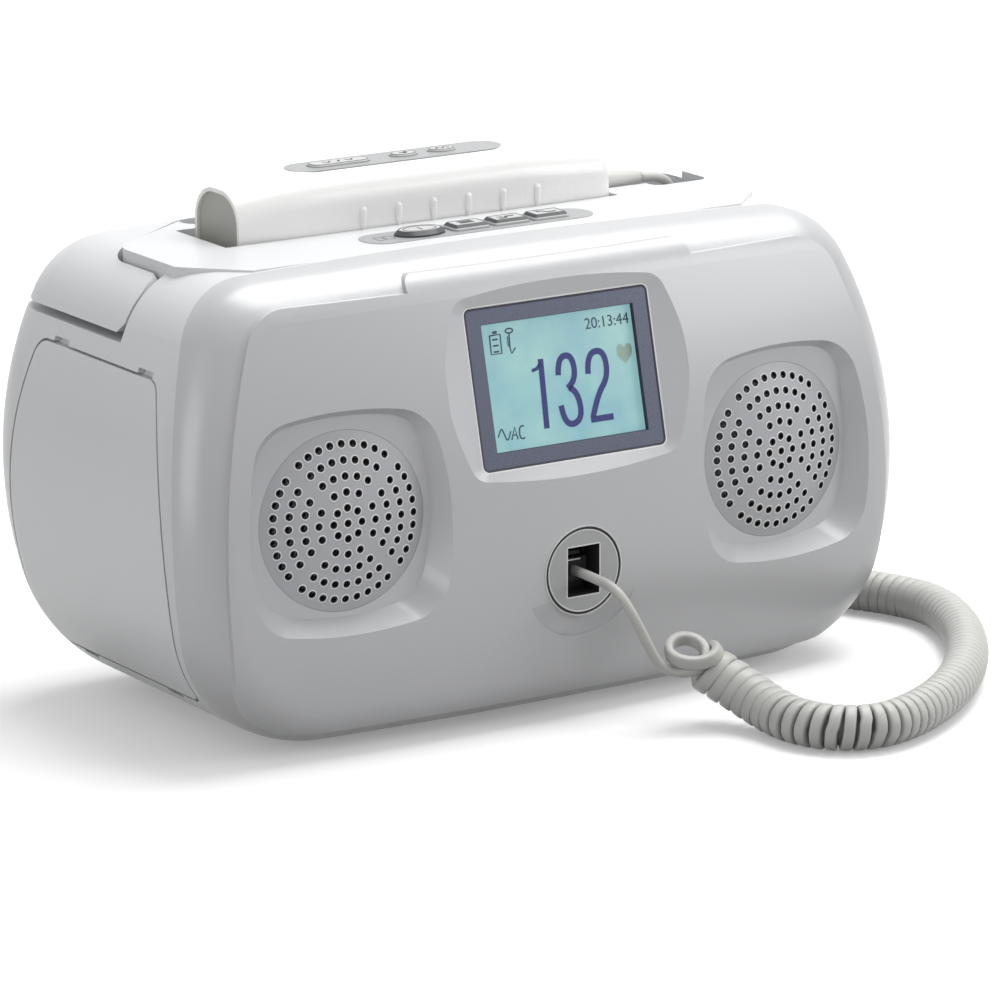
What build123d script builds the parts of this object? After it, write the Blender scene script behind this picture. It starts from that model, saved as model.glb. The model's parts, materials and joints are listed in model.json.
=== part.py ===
from build123d import *
from math import asin, cos, degrees, pi, radians, sin, sqrt, tan
import os

os.makedirs("parts", exist_ok=True)

# X is the width, Y runs back from the front face, Z is up from the table.

# ---- casing ----
WIDTH = 272.0
DEPTH = 143.0
FOOT_HEIGHT = 2.0
BODY_HEIGHT = 146.2
TOP_CROWN = 2.2
SIDE_RADIUS = 145.0
SIDE_APEX_Z = 71.0
TOP_CORNER_RADIUS = 28.0
BOTTOM_CORNER_RADIUS = 50.0
WALL = 2.5
FRONT_RADIUS = 253.0
FRONT_APEX_Z = 49.0
FRONT_PLAN_RADIUS = 1063.0
FRONT_EDGE_RADIUS = 20.0
REAR_RADIUS = 250.0
REAR_APEX_Z = 99.0
REAR_EDGE_RADIUS = 20.0
SEAM_RADIUS = 180.0
SEAM_APEX_Z = 61.0
SEAM_SETBACK = 22.0

FRONT_Y = -DEPTH / 2
REAR_Y = DEPTH / 2
BODY_BOTTOM = FOOT_HEIGHT
BODY_TOP = BODY_BOTTOM + BODY_HEIGHT
SHOULDER_Z = BODY_TOP - TOP_CROWN
SEAM_Y = FRONT_Y + SEAM_SETBACK
PRISM = 2 * (WIDTH + DEPTH)

# ---- raised front panel ----
PANEL_RISE = 0.8
PANEL_HALF_WIDTH = WIDTH / 2 - 12.0
PANEL_SIDE_RADIUS = 175.0
PANEL_SIDE_Z = 62.0
PANEL_TOP_Z = BODY_TOP - 7.9
PANEL_BOTTOM_Z = 8.5
PANEL_TOP_CORNER = 16.0
PANEL_LOW_CORNER = 24.0
PANEL_EDGE_RADIUS = 16.0
CENTRE_HALF_WIDTH = 53.0
CENTRE_TOP_Z = BODY_TOP - 2.9
CENTRE_CORNER = 4.0

# ---- display ----
LCD_Z = BODY_TOP - 39.7
LCD_SETBACK = 3.3
LCD_TILT = 13.6
BEZEL_WIDTH = 68.4
BEZEL_HEIGHT = 50.6
BEZEL_CORNER = 2.0
BEZEL_THICK = 2.4
BEZEL_SEAT = 0.1
WINDOW_WIDTH = 57.0
WINDOW_HEIGHT = 40.2
WINDOW_THICK = 0.8
WINDOW_LEDGE = 2.0
LCD_MODULE_THICK = 6.0
LCD_POCKET_WIDTH = 90.0
LCD_POCKET_HEIGHT = 68.0
LCD_POCKET_BARREL = 3.6
LCD_POCKET_CORNER = 8.0
LCD_POCKET_RISE = 2.2

# ---- speakers ----
SPEAKER_X = WIDTH / 2 - 54.6
SPEAKER_Z = 74.0
SPEAKER_SETBACK = 7.6
SPEAKER_YAW = 4.4
SPEAKER_PITCH = 2.5
GRILLE_DIAMETER = 56.5
GRILLE_DOME_RADIUS = 96.0
GRILLE_THICK = 1.6
GRILLE_HOLE_DIAMETER = 2.2
GRILLE_HOLE_SIDES = 6
GRILLE_RING_PITCH = 4.85
GRILLE_RINGS = 5
GRILLE_SPOKE = 6.4
GRILLE_CLEARANCE = 0.1
GRILLE_LEDGE = 2.5
SPEAKER_POCKET_WIDTH = 60.5
SPEAKER_POCKET_HEIGHT = 62.5
SPEAKER_POCKET_RAISE = 1.4
SPEAKER_POCKET_BARREL = 3.6
SPEAKER_POCKET_CORNER = 14.0
SPEAKER_POCKET_FLARE = 9.0
SPEAKER_POCKET_REACH = 14.0
DRIVER_DIAMETER = 56.0
DRIVER_RIM_THICK = 3.0
CONE_DIAMETER = 46.0
CONE_DEPTH = 10.0
DUST_CAP_DIAMETER = 16.0
BASKET_DEPTH = 15.0
MAGNET_DIAMETER = 32.0
MAGNET_HEIGHT = 9.0

# ---- front jack ----
JACK_Z = 48.7
JACK_DIAMETER = 26.4
JACK_THICK = 3.0
JACK_GROOVE = 0.9
JACK_OPENING_WIDTH = 12.0
JACK_OPENING_HEIGHT = 15.9
JACK_OPENING_DEPTH = 9.0
JACK_SOCKET_WALL = 1.6
JACK_SOCKET_DEPTH = 28.0
SCOOP_RADIUS = 21.5
SCOOP_START = 8.0
SCOOP_TILT = 9.0
PLUG_WIDTH = 11.0
PLUG_HEIGHT = 7.6
PLUG_LENGTH = 17.0
PLUG_SHOW = 2.5
PLUG_Z = 47.6
PLUG_CLEARANCE = 0.1
LATCH_THICK = 1.2
LATCH_WIDTH = 6.0
LATCH_GAP = 1.0

# ---- handle ----
ARM_INNER_X = WIDTH / 2 - 25.5
ARM_FRONT_Y = -2.0
HANDLE_GAP = 1.2
HANDLE_BOTTOM_Z = BODY_TOP - 21.2
LEDGE_Z = HANDLE_BOTTOM_Z - 2.6
PIVOT_Y = 5.0
PIVOT_Z = HANDLE_BOTTOM_Z + 10.0
TOE_CHAMFER = 3.0
PIN_DIAMETER = 4.0
PIN_CLEARANCE = 0.05
PIN_INBOARD = 12.0
PIN_OUTBOARD = 4.5
PIN_BOSS_WIDTH = 11.0
CORNER_Y = 28.0
CORNER_X = ARM_INNER_X - 38.5
BAR_INNER_Y = 52.0
HANDLE_INNER_CORNER = 12.0

# ---- deck, cradle and finger well ----
DECK_Z = BODY_TOP - 0.8
DECK_FRONT_Y = -26.5
DECK_FRONT_X = ARM_INNER_X - 18.5
DECK_CORNER_Y = -9.0
WELL_HALF_WIDTH = 74.0
WELL_FRONT_Y = 41.5
WELL_FLOOR_Z = BODY_TOP - 38.2
WELL_CORNER = 6.0
CRADLE_CLEARANCE = 0.6
CRADLE_LEFT_ROOM = 6.0
CABLE_SLOT_LEFT_X = ARM_INNER_X - 25.5
CABLE_SLOT_FRONT_Y = 12.0
CABLE_SLOT_FLOOR_Z = BODY_TOP - 36.2
CABLE_SLOT_CORNER = 4.0

# ---- deck keys ----
LABEL_X = 1.0
LABEL_Y = -9.5
LABEL_LENGTH = 86.0
LABEL_WIDTH = 15.0
LABEL_THICK = 0.6
LABEL_SINK = 0.4
KEY_FIRST_X = -3.1
KEY_PITCH = 15.1
KEY_LENGTH = 13.4
KEY_WIDTH = 8.4
KEY_CORNER = 1.6
KEY_CHAMFER = 1.1
KEY_RISE = 1.9
POWER_KEY_X = -20.6
POWER_KEY_LENGTH = 17.5
POWER_KEY_WIDTH = 11.0
KEY_CLEARANCE = 0.3
KEY_FLANGE = 0.6
KEY_FLANGE_THICK = 0.9
KEY_FLANGE_GAP = 0.1
KEY_TRAVEL = 0.5
KEY_OVERTRAVEL = 0.15
KEY_BOARD_LENGTH = 90.0
KEY_BOARD_WIDTH = 14.0
KEY_BOARD_THICK = 1.6
KEY_POST_DIAMETER = 4.0

# ---- left side cover ----
COVER_TOP_Z = BODY_TOP - 30.7
COVER_BOTTOM_Z = 17.8
COVER_FRONT_SETBACK = 4.2
COVER_FRONT_RADIUS = 130.0
COVER_FRONT_APEX_Z = 54.0
COVER_REAR_Y = 50.5
COVER_REAR_RADIUS = 175.0
COVER_REAR_APEX_Z = 66.0
COVER_CORNER = 6.0
COVER_THICK = 2.2
COVER_GAP = 0.8
COVER_SEAT = 0.3
COVER_FLOOR = 2.0
CATCH_LENGTH = 9.0
CATCH_HEIGHT = 2.4
CATCH_PLACES = (-22.0, 30.0)

# ---- battery bay ----
BATTERY_OUTER_X = 11.5 - WIDTH / 2
BATTERY_THICK = 21.0
BATTERY_FRONT_Y = -22.0
BATTERY_LENGTH = 60.0
BATTERY_HEIGHT = 66.0
BATTERY_BOTTOM_Z = COVER_TOP_Z - BATTERY_HEIGHT - 13.5
BATTERY_CLEARANCE = 0.3
BATTERY_CORNER = 3.0

# ---- probe ----
PROBE_LEFT_X = -76.0
PROBE_SEAM_X = -45.5
PROBE_SLOPE_X = 31.0
PROBE_RIGHT_X = 66.0
PROBE_Y = 22.0
PROBE_WIDTH = 30.0
PROBE_BOTTOM_Z = DECK_Z - 11.4
PROBE_TOP_Z = PROBE_BOTTOM_Z + 30.2
PROBE_SLOPE_DROP = 2.2
PROBE_SPLIT_Z = PROBE_BOTTOM_Z + 7.0
PROBE_CROWN_RADIUS = 11.0
PROBE_KEEL_RADIUS = 6.5
PROBE_WALL = 2.0
PROBE_END_RADIUS = 6.0
FACE_WIDTH = 27.0
FACE_BOTTOM_Z = PROBE_BOTTOM_Z + 2.0
FACE_TOP_Z = PROBE_TOP_Z - 3.4
HEAD_MID_X = -63.0
HEAD_MID_INSET = 0.4
HEAD_MID_DROP = 1.2
FACE_RECESS = 1.0
FACE_RIM = 1.3
FACE_THICK = 3.0
FACE_CLEARANCE = 0.05
RIB_FIRST_X = -31.1
RIB_PITCH = 13.25
RIB_COUNT = 6
RIB_RADIUS = 1.1
RIB_TOP_Z = PROBE_BOTTOM_Z + 18.5
PROBE_LABEL_X = -10.2
PROBE_LABEL_LENGTH = 79.5
PROBE_LABEL_WIDTH = 14.4
PROBE_LABEL_THICK = 0.6
PROBE_FLAT_DROP = 0.7
PROBE_KEY_X = -31.0
PROBE_KEY_LENGTH = 22.0
PROBE_KEY_WIDTH = 6.4
PROBE_KEY_RISE = 1.4
PROBE_KEY_CHAMFER = 0.4
PROBE_KEY_TRAVEL = 0.4
OVAL_KEY_X = (-6.5, 8.0)
OVAL_KEY_LENGTH = 9.6
OVAL_KEY_WIDTH = 6.0
PROBE_BOARD_X = 1.0
PROBE_BOARD_LENGTH = 86.0
PROBE_BOARD_WIDTH = 13.0
PROBE_BOARD_THICK = 1.2
PROBE_POST_DIAMETER = 3.0
CRYSTAL_DIAMETER = 16.0
CRYSTAL_THICK = 4.0
CRYSTAL_SPLIT = 0.6

# ---- cord ----
CORD_DIAMETER = 3.2
COIL_DIAMETER = 13.5
COIL_REST_Z = 6.85
ARC_SHARE = 0.45
GLAND_LENGTH = 19.0
GLAND_Z = PROBE_BOTTOM_Z + 12.5
GLAND_ROOT_DIAMETER = 8.0
GLAND_TIP_DIAMETER = 4.6

# from the plug down to the coil, along the coil, and from the probe's gland down to the coil's other end
FRONT_LEAD_ROUTE = ((0, -65, 47.6), (0, -76.5, 47.6), (2, -87.5, 42), (10, -92.5, 32.5), (22, -95, 25))
COIL_ROUTE = (
    (22, -95, 25),
    (34, -97.5, 17.5),
    (41, -110, 9.5),
    (38.5, -129, COIL_REST_Z),
    (45, -143, COIL_REST_Z),
    (59, -148.5, COIL_REST_Z),
    (77, -143.5, COIL_REST_Z),
    (98, -131.5, COIL_REST_Z),
    (118, -114.5, COIL_REST_Z),
    (136, -93.5, COIL_REST_Z),
    (150.5, -70, COIL_REST_Z),
    (158.5, -46, COIL_REST_Z),
    (153, -27, COIL_REST_Z),
    (144, -12, COIL_REST_Z),
    (138, 8, COIL_REST_Z),
    (135, 32, COIL_REST_Z),
    (133, 57, COIL_REST_Z),
    (125, 79, COIL_REST_Z),
    (110, 93.5, COIL_REST_Z),
    (94, 100.5, COIL_REST_Z),
)
REAR_LEAD_ROUTE = (
    (85, 22, 148.5),
    (95, 22, 148.5),
    (101, 24.5, 141.5),
    (101, 28, 132.5),
    (100.5, 32, 124),
    (99.5, 43, 118),
    (98, 60, 116),
    (96, 78.5, 114.5),
    (93, 90, 100),
    (90, 93, 78),
    (84, 94, 54),
    (76, 95, 32),
    (69, 99, 16),
    (82, 105.75, COIL_REST_Z),
    (94, 100.5, COIL_REST_Z),
)

# ---- inside ----
CHASSIS_LENGTH = WIDTH - 104.0
CHASSIS_WIDTH = 56.0
CHASSIS_Z = 10.0
CHASSIS_THICK = 1.6
CHASSIS_POST_DIAMETER = 8.0
CHASSIS_POST_INSET = 6.0
BOARD_LENGTH = CHASSIS_LENGTH - 60.0
BOARD_WIDTH = 50.0
BOARD_X = (BOARD_LENGTH - CHASSIS_LENGTH) / 2 + 4.0
BOARD_THICK = 1.6
STANDOFF_HEIGHT = 6.0
STANDOFF_DIAMETER = 6.0
STANDOFF_INSET = 5.0
POWER_MODULE_LENGTH = 46.0
POWER_MODULE_WIDTH = 50.0
POWER_MODULE_HEIGHT = 32.0
POWER_MODULE_X = CHASSIS_LENGTH / 2 - 26.0
INLET_X = POWER_MODULE_X
INLET_Z = 62.0
INLET_WIDTH = 27.0
INLET_HEIGHT = 20.0
INLET_DEPTH = 20.0
INLET_FLANGE = 3.0
INLET_FLANGE_THICK = 2.0
INLET_SEAT = 1.0
INLET_WALL = 1.8
INLET_CORNER = 2.5
INLET_PIN_PITCH = 7.0
INLET_PIN_DROP = 4.0
INLET_PIN_WIDTH = 2.0
INLET_PIN_HEIGHT = 4.0
INLET_PIN_LENGTH = 14.0
SCREW_DIAMETER = 3.0
SCREW_LENGTH = 12.0
SCREW_HEAD_DIAMETER = 5.6
SCREW_HEAD_HEIGHT = 2.2
TOWER_DIAMETER = 11.0
TOWER_BORE_DIAMETER = 7.0
TOWER_FRONT_Y = -44.0
TOWER_WEB = 3.0
BOSS_DIAMETER = 9.0
LOW_TOWER_X = WIDTH / 2 - 42.0
HIGH_TOWER_X = 45.0
LOW_TOWER_Z = 24.0
HIGH_TOWER_Z = BODY_TOP - 52.2
TOWERS = (
    (-LOW_TOWER_X, LOW_TOWER_Z),
    (LOW_TOWER_X, LOW_TOWER_Z),
    (-HIGH_TOWER_X, HIGH_TOWER_Z),
    (HIGH_TOWER_X, HIGH_TOWER_Z),
)
FOOT_DIAMETER = 14.0
FOOT_SINK = 1.2
FOOT_CHAMFER = 0.5
FOOT_X = WIDTH / 2 - 58.0
FOOT_FRONT_Y = -28.0
FOOT_REAR_Y = 17.0

SIDES = (-1, 1)


# ---------------------------------------------------------------- places on the curved faces
def arc_drop(radius, distance):
    """How far an arc of this radius falls away at a distance from its apex."""
    return radius - sqrt(radius**2 - distance**2)


def bow_drop(radius, distance):
    """How far a parabola with this radius at its apex falls away at a distance from it."""
    return distance**2 / (2 * radius)


def half_width(z, inset=0.0):
    """Half the casing's width at height z, before its corners are rounded, shrunk by inset."""
    return WIDTH / 2 - inset - arc_drop(SIDE_RADIUS - inset, z - SIDE_APEX_Z)


def front_y(x, z):
    """Depth of the raised front panel's face at a width and height."""
    return FRONT_Y + bow_drop(FRONT_RADIUS, z - FRONT_APEX_Z) + arc_drop(FRONT_PLAN_RADIUS, x)


def rear_y(z):
    """Depth of the rear face at height z."""
    return REAR_Y - arc_drop(REAR_RADIUS, z - REAR_APEX_Z)


def depth_plane(y, x=0.0, z=0.0):
    """An upright plane at depth y: X across, Z up, its normal to the front."""
    return Plane(origin=(x, y, z), x_dir=(1, 0, 0), z_dir=(0, -1, 0))


def facing_plane(x, z, setback, yaw, pitch):
    """A plane set back behind the front face, turned outward by yaw and leaned back by pitch."""
    normal = (
        sin(radians(yaw)) * cos(radians(pitch)),
        -cos(radians(yaw)) * cos(radians(pitch)),
        sin(radians(pitch)),
    )
    across = (cos(radians(yaw)), sin(radians(yaw)), 0)
    return Plane(origin=(x, front_y(x, z) + setback, z), x_dir=across, z_dir=normal)


def profile_plane(plane):
    """The plane of a turned piece's half profile: across is its radius, up is the normal."""
    return Plane(origin=plane.origin, x_dir=plane.x_dir, z_dir=-plane.y_dir)


def speaker_plane(side):
    """The plane that a grille's rim lies in; side is -1 for the left and 1 for the right."""
    return facing_plane(side * SPEAKER_X, SPEAKER_Z, SPEAKER_SETBACK, side * SPEAKER_YAW, SPEAKER_PITCH)


LCD_PLANE = facing_plane(0, LCD_Z, LCD_SETBACK, 0, LCD_TILT)
JACK_PLANE = facing_plane(0, JACK_Z, 0, 0, 0)
INLET_PLANE = Plane(origin=(INLET_X, rear_y(INLET_Z) - INLET_SEAT, INLET_Z), x_dir=(-1, 0, 0), z_dir=(0, 1, 0))


# ---------------------------------------------------------------- plain solids
def block(plane, width, height, depth, corner=0.0):
    """A block lying behind a plane, the edges along its depth rounded."""
    with BuildPart() as piece:
        with BuildSketch(plane):
            if corner > 0:
                RectangleRounded(width, height, corner)
            else:
                Rectangle(width, height)
        extrude(amount=-depth)
    return piece.part


def box_between(x_range, y_range, z_range, corner=0.0):
    """A block between two corners, its upright edges rounded."""
    centre = ((x_range[0] + x_range[1]) / 2, (y_range[0] + y_range[1]) / 2, z_range[1])
    size = (x_range[1] - x_range[0], y_range[1] - y_range[0], z_range[1] - z_range[0])
    return block(Plane(origin=centre), *size, corner)


def rod(plane, diameter, depth):
    """A cylinder lying behind a plane."""
    with BuildPart() as piece:
        with BuildSketch(plane):
            Circle(diameter / 2)
        extrude(amount=-depth)
    return piece.part


# ---------------------------------------------------------------- forms that pieces share
def casing_form(inset, front_inset, front_edge=FRONT_EDGE_RADIUS):
    """The closed outer form of the whole casing, shrunk by inset, its front by front_inset more."""
    side_x = WIDTH / 2 - inset
    low_z = BODY_BOTTOM + inset
    high_z = SHOULDER_Z - inset
    low_x = half_width(low_z, inset)
    high_x = half_width(high_z, inset)
    reach = BODY_HEIGHT
    with BuildPart() as form:
        with BuildSketch(depth_plane(DEPTH)):
            with BuildLine():
                ThreePointArc((-high_x, high_z), (0, BODY_TOP - inset), (high_x, high_z))
                ThreePointArc((high_x, high_z), (side_x, SIDE_APEX_Z), (low_x, low_z))
                Line((low_x, low_z), (-low_x, low_z))
                ThreePointArc((-low_x, low_z), (-side_x, SIDE_APEX_Z), (-high_x, high_z))
            make_face()
            fillet(vertices().sort_by(Axis.Y)[-2:], TOP_CORNER_RADIUS - inset)
            fillet(vertices().sort_by(Axis.Y)[:2], BOTTOM_CORNER_RADIUS - inset)
        extrude(amount=2 * DEPTH)
        # the front is turned about an upright axis far behind it, so that it bows both ways
        face_y = FRONT_Y + inset + front_inset
        face_drop = bow_drop(FRONT_RADIUS, reach)
        far = 2 * (FRONT_Y + FRONT_PLAN_RADIUS)
        with BuildSketch(Plane.YZ):
            with BuildLine():
                Polyline(
                    (far - face_y - face_drop, FRONT_APEX_Z - reach),
                    (far - PRISM, FRONT_APEX_Z - reach),
                    (far - PRISM, FRONT_APEX_Z + reach),
                    (far - face_y - face_drop, FRONT_APEX_Z + reach),
                )
                Bezier(
                    (far - face_y - face_drop, FRONT_APEX_Z + reach),
                    (far - face_y + face_drop, FRONT_APEX_Z),
                    (far - face_y - face_drop, FRONT_APEX_Z - reach),
                )
            make_face()
        revolve(axis=Axis((0, far / 2, 0), (0, 0, 1)), mode=Mode.INTERSECT)
        back_y = REAR_Y - inset
        back_drop = arc_drop(REAR_RADIUS, reach)
        with BuildSketch(Plane.YZ):
            with BuildLine():
                Polyline(
                    (back_y - back_drop, REAR_APEX_Z + reach),
                    (-PRISM, REAR_APEX_Z + reach),
                    (-PRISM, REAR_APEX_Z - reach),
                    (back_y - back_drop, REAR_APEX_Z - reach),
                )
                ThreePointArc(
                    (back_y - back_drop, REAR_APEX_Z - reach),
                    (back_y, REAR_APEX_Z),
                    (back_y - back_drop, REAR_APEX_Z + reach),
                )
            make_face()
        extrude(amount=WIDTH, both=True, mode=Mode.INTERSECT)
        fillet(form.faces().sort_by(Axis.Y)[0].edges(), front_edge - inset)
        fillet(form.faces().sort_by(Axis.Y)[-1].edges(), REAR_EDGE_RADIUS - inset)
    return form.part


def front_half():
    """Everything in front of the parting line."""
    reach = SEAM_RADIUS * 0.9
    drop = arc_drop(SEAM_RADIUS, reach)
    with BuildPart() as half:
        with BuildSketch(Plane.YZ):
            with BuildLine():
                Polyline(
                    (SEAM_Y + drop, SEAM_APEX_Z + reach),
                    (-PRISM, SEAM_APEX_Z + reach),
                    (-PRISM, SEAM_APEX_Z - reach),
                    (SEAM_Y + drop, SEAM_APEX_Z - reach),
                )
                ThreePointArc(
                    (SEAM_Y + drop, SEAM_APEX_Z - reach),
                    (SEAM_Y, SEAM_APEX_Z),
                    (SEAM_Y + drop, SEAM_APEX_Z + reach),
                )
            make_face()
        extrude(amount=WIDTH, both=True)
    return half.part


def panel_prism():
    """The front panel's outline: a wide block with a narrower one that climbs over the top edge."""
    mid_z = (PANEL_TOP_Z + PANEL_BOTTOM_Z) / 2
    top_x = PANEL_HALF_WIDTH - arc_drop(PANEL_SIDE_RADIUS, PANEL_TOP_Z - PANEL_SIDE_Z)
    low_x = PANEL_HALF_WIDTH - arc_drop(PANEL_SIDE_RADIUS, PANEL_BOTTOM_Z - PANEL_SIDE_Z)
    with BuildPart() as prism:
        with BuildSketch(depth_plane(SEAM_Y + SEAM_SETBACK)):
            with BuildLine():
                Line((-top_x, PANEL_TOP_Z), (top_x, PANEL_TOP_Z))
                ThreePointArc((top_x, PANEL_TOP_Z), (PANEL_HALF_WIDTH, PANEL_SIDE_Z), (low_x, PANEL_BOTTOM_Z))
                Line((low_x, PANEL_BOTTOM_Z), (-low_x, PANEL_BOTTOM_Z))
                ThreePointArc((-low_x, PANEL_BOTTOM_Z), (-PANEL_HALF_WIDTH, PANEL_SIDE_Z), (-top_x, PANEL_TOP_Z))
            make_face()
            fillet(vertices().sort_by(Axis.Y)[-2:], PANEL_TOP_CORNER)
            fillet(vertices().sort_by(Axis.Y)[:2], PANEL_LOW_CORNER)
            with Locations((0, (mid_z + CENTRE_TOP_Z) / 2)):
                RectangleRounded(2 * CENTRE_HALF_WIDTH, CENTRE_TOP_Z - mid_z, CENTRE_CORNER)
        extrude(amount=DEPTH)
    return prism.part


# ---------------------------------------------------------------- hollows, each grown for its backing wall
def barrel(half_w, half_h, bulge, corner):
    """A rectangle with four bulging sides and round corners."""
    corner_w = half_w - bulge
    corner_h = half_h - bulge
    with BuildSketch() as outline:
        with BuildLine():
            ThreePointArc((-corner_w, corner_h), (0, half_h), (corner_w, corner_h))
            ThreePointArc((corner_w, corner_h), (half_w, 0), (corner_w, -corner_h))
            ThreePointArc((corner_w, -corner_h), (0, -half_h), (-corner_w, -corner_h))
            ThreePointArc((-corner_w, -corner_h), (-half_w, 0), (-corner_w, corner_h))
        make_face()
        fillet(vertices(), corner)
    return outline.sketch


def lcd_pocket(grow):
    """The dished recess round the display, barrel shaped at the face and square at the bezel."""
    half_w = LCD_POCKET_WIDTH / 2 + grow
    half_h = LCD_POCKET_HEIGHT / 2 + grow
    with BuildPart() as pocket:
        with BuildSketch(LCD_PLANE.offset(-grow)):
            RectangleRounded(BEZEL_WIDTH + 2 * grow, BEZEL_HEIGHT + 2 * grow, BEZEL_CORNER)
        with BuildSketch(LCD_PLANE.offset(LCD_POCKET_RISE)):
            add(barrel(half_w, half_h, LCD_POCKET_BARREL, LCD_POCKET_CORNER))
        loft()
        extrude(pocket.faces().sort_by(Axis((0, 0, 0), LCD_PLANE.z_dir))[-1], amount=WALL)
    return pocket.part


def lcd_seat(grow):
    """The hole that the bezel and the display module drop into."""
    width = BEZEL_WIDTH + 2 * (BEZEL_SEAT + grow)
    height = BEZEL_HEIGHT + 2 * (BEZEL_SEAT + grow)
    return block(LCD_PLANE, width, height, BEZEL_THICK + LCD_MODULE_THICK, BEZEL_CORNER + grow)


def speaker_pocket(side, grow):
    """A deep rounded recess whose walls flare from the grille's rim out to the face."""
    half_w = SPEAKER_POCKET_WIDTH / 2 + grow
    half_h = SPEAKER_POCKET_HEIGHT / 2 + grow
    middle = speaker_plane(side)
    middle.origin += SPEAKER_POCKET_RAISE * middle.y_dir
    with BuildPart() as pocket:
        for out, flare in ((-grow, 0), (SPEAKER_POCKET_REACH, SPEAKER_POCKET_FLARE)):
            with BuildSketch(middle.offset(out)):
                add(barrel(half_w + flare, half_h + flare, SPEAKER_POCKET_BARREL, SPEAKER_POCKET_CORNER + grow))
        loft(ruled=True)
    return pocket.part


def jack_seat(grow):
    """The round recess of the jack's plate, with room for the dark groove round it."""
    diameter = JACK_DIAMETER + 2 * (JACK_GROOVE + grow)
    return rod(JACK_PLANE.offset(FRONT_EDGE_RADIUS), diameter, JACK_THICK + grow + FRONT_EDGE_RADIUS)


def handle_prism(gap, bottom_z):
    """The U of the handle seen from above, grown by gap, standing on bottom_z."""
    inner_x = ARM_INNER_X - gap
    with BuildPart() as prism:
        with BuildSketch(Plane.XY.offset(bottom_z)):
            with BuildLine():
                Polyline(
                    (inner_x, ARM_FRONT_Y - gap),
                    (PRISM, ARM_FRONT_Y - gap),
                    (PRISM, PRISM),
                    (-PRISM, PRISM),
                    (-PRISM, ARM_FRONT_Y - gap),
                    (-inner_x, ARM_FRONT_Y - gap),
                    (-inner_x, CORNER_Y - gap),
                    (-CORNER_X, BAR_INNER_Y - gap),
                    (CORNER_X, BAR_INNER_Y - gap),
                    (inner_x, CORNER_Y - gap),
                    close=True,
                )
            make_face()
            fillet([v for v in vertices() if ARM_FRONT_Y < v.Y < REAR_Y], HANDLE_INNER_CORNER)
        extrude(amount=PRISM)
    return prism.part


def cradle(grow):
    """The trough that the probe lies in, open to the top."""
    room = CRADLE_CLEARANCE + grow
    left_x = PROBE_LEFT_X - CRADLE_LEFT_ROOM - grow
    right_x = PROBE_RIGHT_X + room
    low_z = PROBE_BOTTOM_Z - room
    with BuildPart() as trough:
        with BuildSketch(Plane.YZ.offset(left_x)):
            with Locations((PROBE_Y, low_z + PROBE_WIDTH)):
                Rectangle(PROBE_WIDTH + 2 * room, 2 * PROBE_WIDTH)
            fillet(vertices().group_by(Axis.Y)[0], PROBE_KEEL_RADIUS + room)
        extrude(amount=right_x - left_x)
    return trough.part


def finger_well(grow):
    """The hollow in front of and under the handle's bar, open at the top and the back."""
    x_range = (-WELL_HALF_WIDTH - grow, WELL_HALF_WIDTH + grow)
    return box_between(x_range, (WELL_FRONT_Y - grow, PRISM), (WELL_FLOOR_Z - grow, PRISM), WELL_CORNER)


def cable_slot(grow):
    """The channel that takes the probe's cable past the probe and under the handle."""
    x_range = (CABLE_SLOT_LEFT_X - grow, ARM_INNER_X - HANDLE_GAP - WALL + grow)
    y_range = (CABLE_SLOT_FRONT_Y - grow, PRISM)
    return box_between(x_range, y_range, (CABLE_SLOT_FLOOR_Z - grow, PRISM), CABLE_SLOT_CORNER)


def gland_slot(grow):
    """The notch between the cradle and the cable channel that the probe's gland passes."""
    half = GLAND_ROOT_DIAMETER / 2 + CRADLE_CLEARANCE + grow
    x_range = (PROBE_RIGHT_X - PROBE_WALL, CABLE_SLOT_LEFT_X + CABLE_SLOT_CORNER)
    return box_between(x_range, (PROBE_Y - half, PROBE_Y + half), (GLAND_Z - half, PRISM))


def cover_prism(grow):
    """The side cover's outline, drawn through the left side of the casing."""
    front = SEAM_Y + COVER_FRONT_SETBACK - grow
    rear = COVER_REAR_Y + grow
    top = COVER_TOP_Z + grow
    low = COVER_BOTTOM_Z - grow

    def front_at(z):
        return front + arc_drop(COVER_FRONT_RADIUS, z - COVER_FRONT_APEX_Z)

    def rear_at(z):
        return rear - arc_drop(COVER_REAR_RADIUS, z - COVER_REAR_APEX_Z)

    with BuildPart() as prism:
        with BuildSketch(Plane.YZ.offset(-WIDTH)):
            with BuildLine():
                Line((front_at(top), top), (rear_at(top), top))
                ThreePointArc((rear_at(top), top), (rear, COVER_REAR_APEX_Z), (rear_at(low), low))
                Line((rear_at(low), low), (front_at(low), low))
                ThreePointArc((front_at(low), low), (front, COVER_FRONT_APEX_Z), (front_at(top), top))
            make_face()
            fillet(vertices(), COVER_CORNER + grow)
        extrude(amount=WIDTH * 0.9)
    return prism.part


def battery_bay(grow):
    """The pocket behind the side cover that the battery slides into."""
    room = BATTERY_CLEARANCE + grow
    return box_between(
        (-WIDTH, BATTERY_OUTER_X + BATTERY_THICK + room),
        (BATTERY_FRONT_Y - room, BATTERY_FRONT_Y + BATTERY_LENGTH + room),
        (BATTERY_BOTTOM_Z - room, BATTERY_BOTTOM_Z + BATTERY_HEIGHT + room),
    )


def inlet_hole(grow):
    """The hole that the mains inlet's body passes through the rear wall."""
    return block(INLET_PLANE.offset(WALL), INLET_WIDTH + 2 * grow, INLET_HEIGHT + 2 * grow, 3 * WALL, INLET_CORNER)


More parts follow.
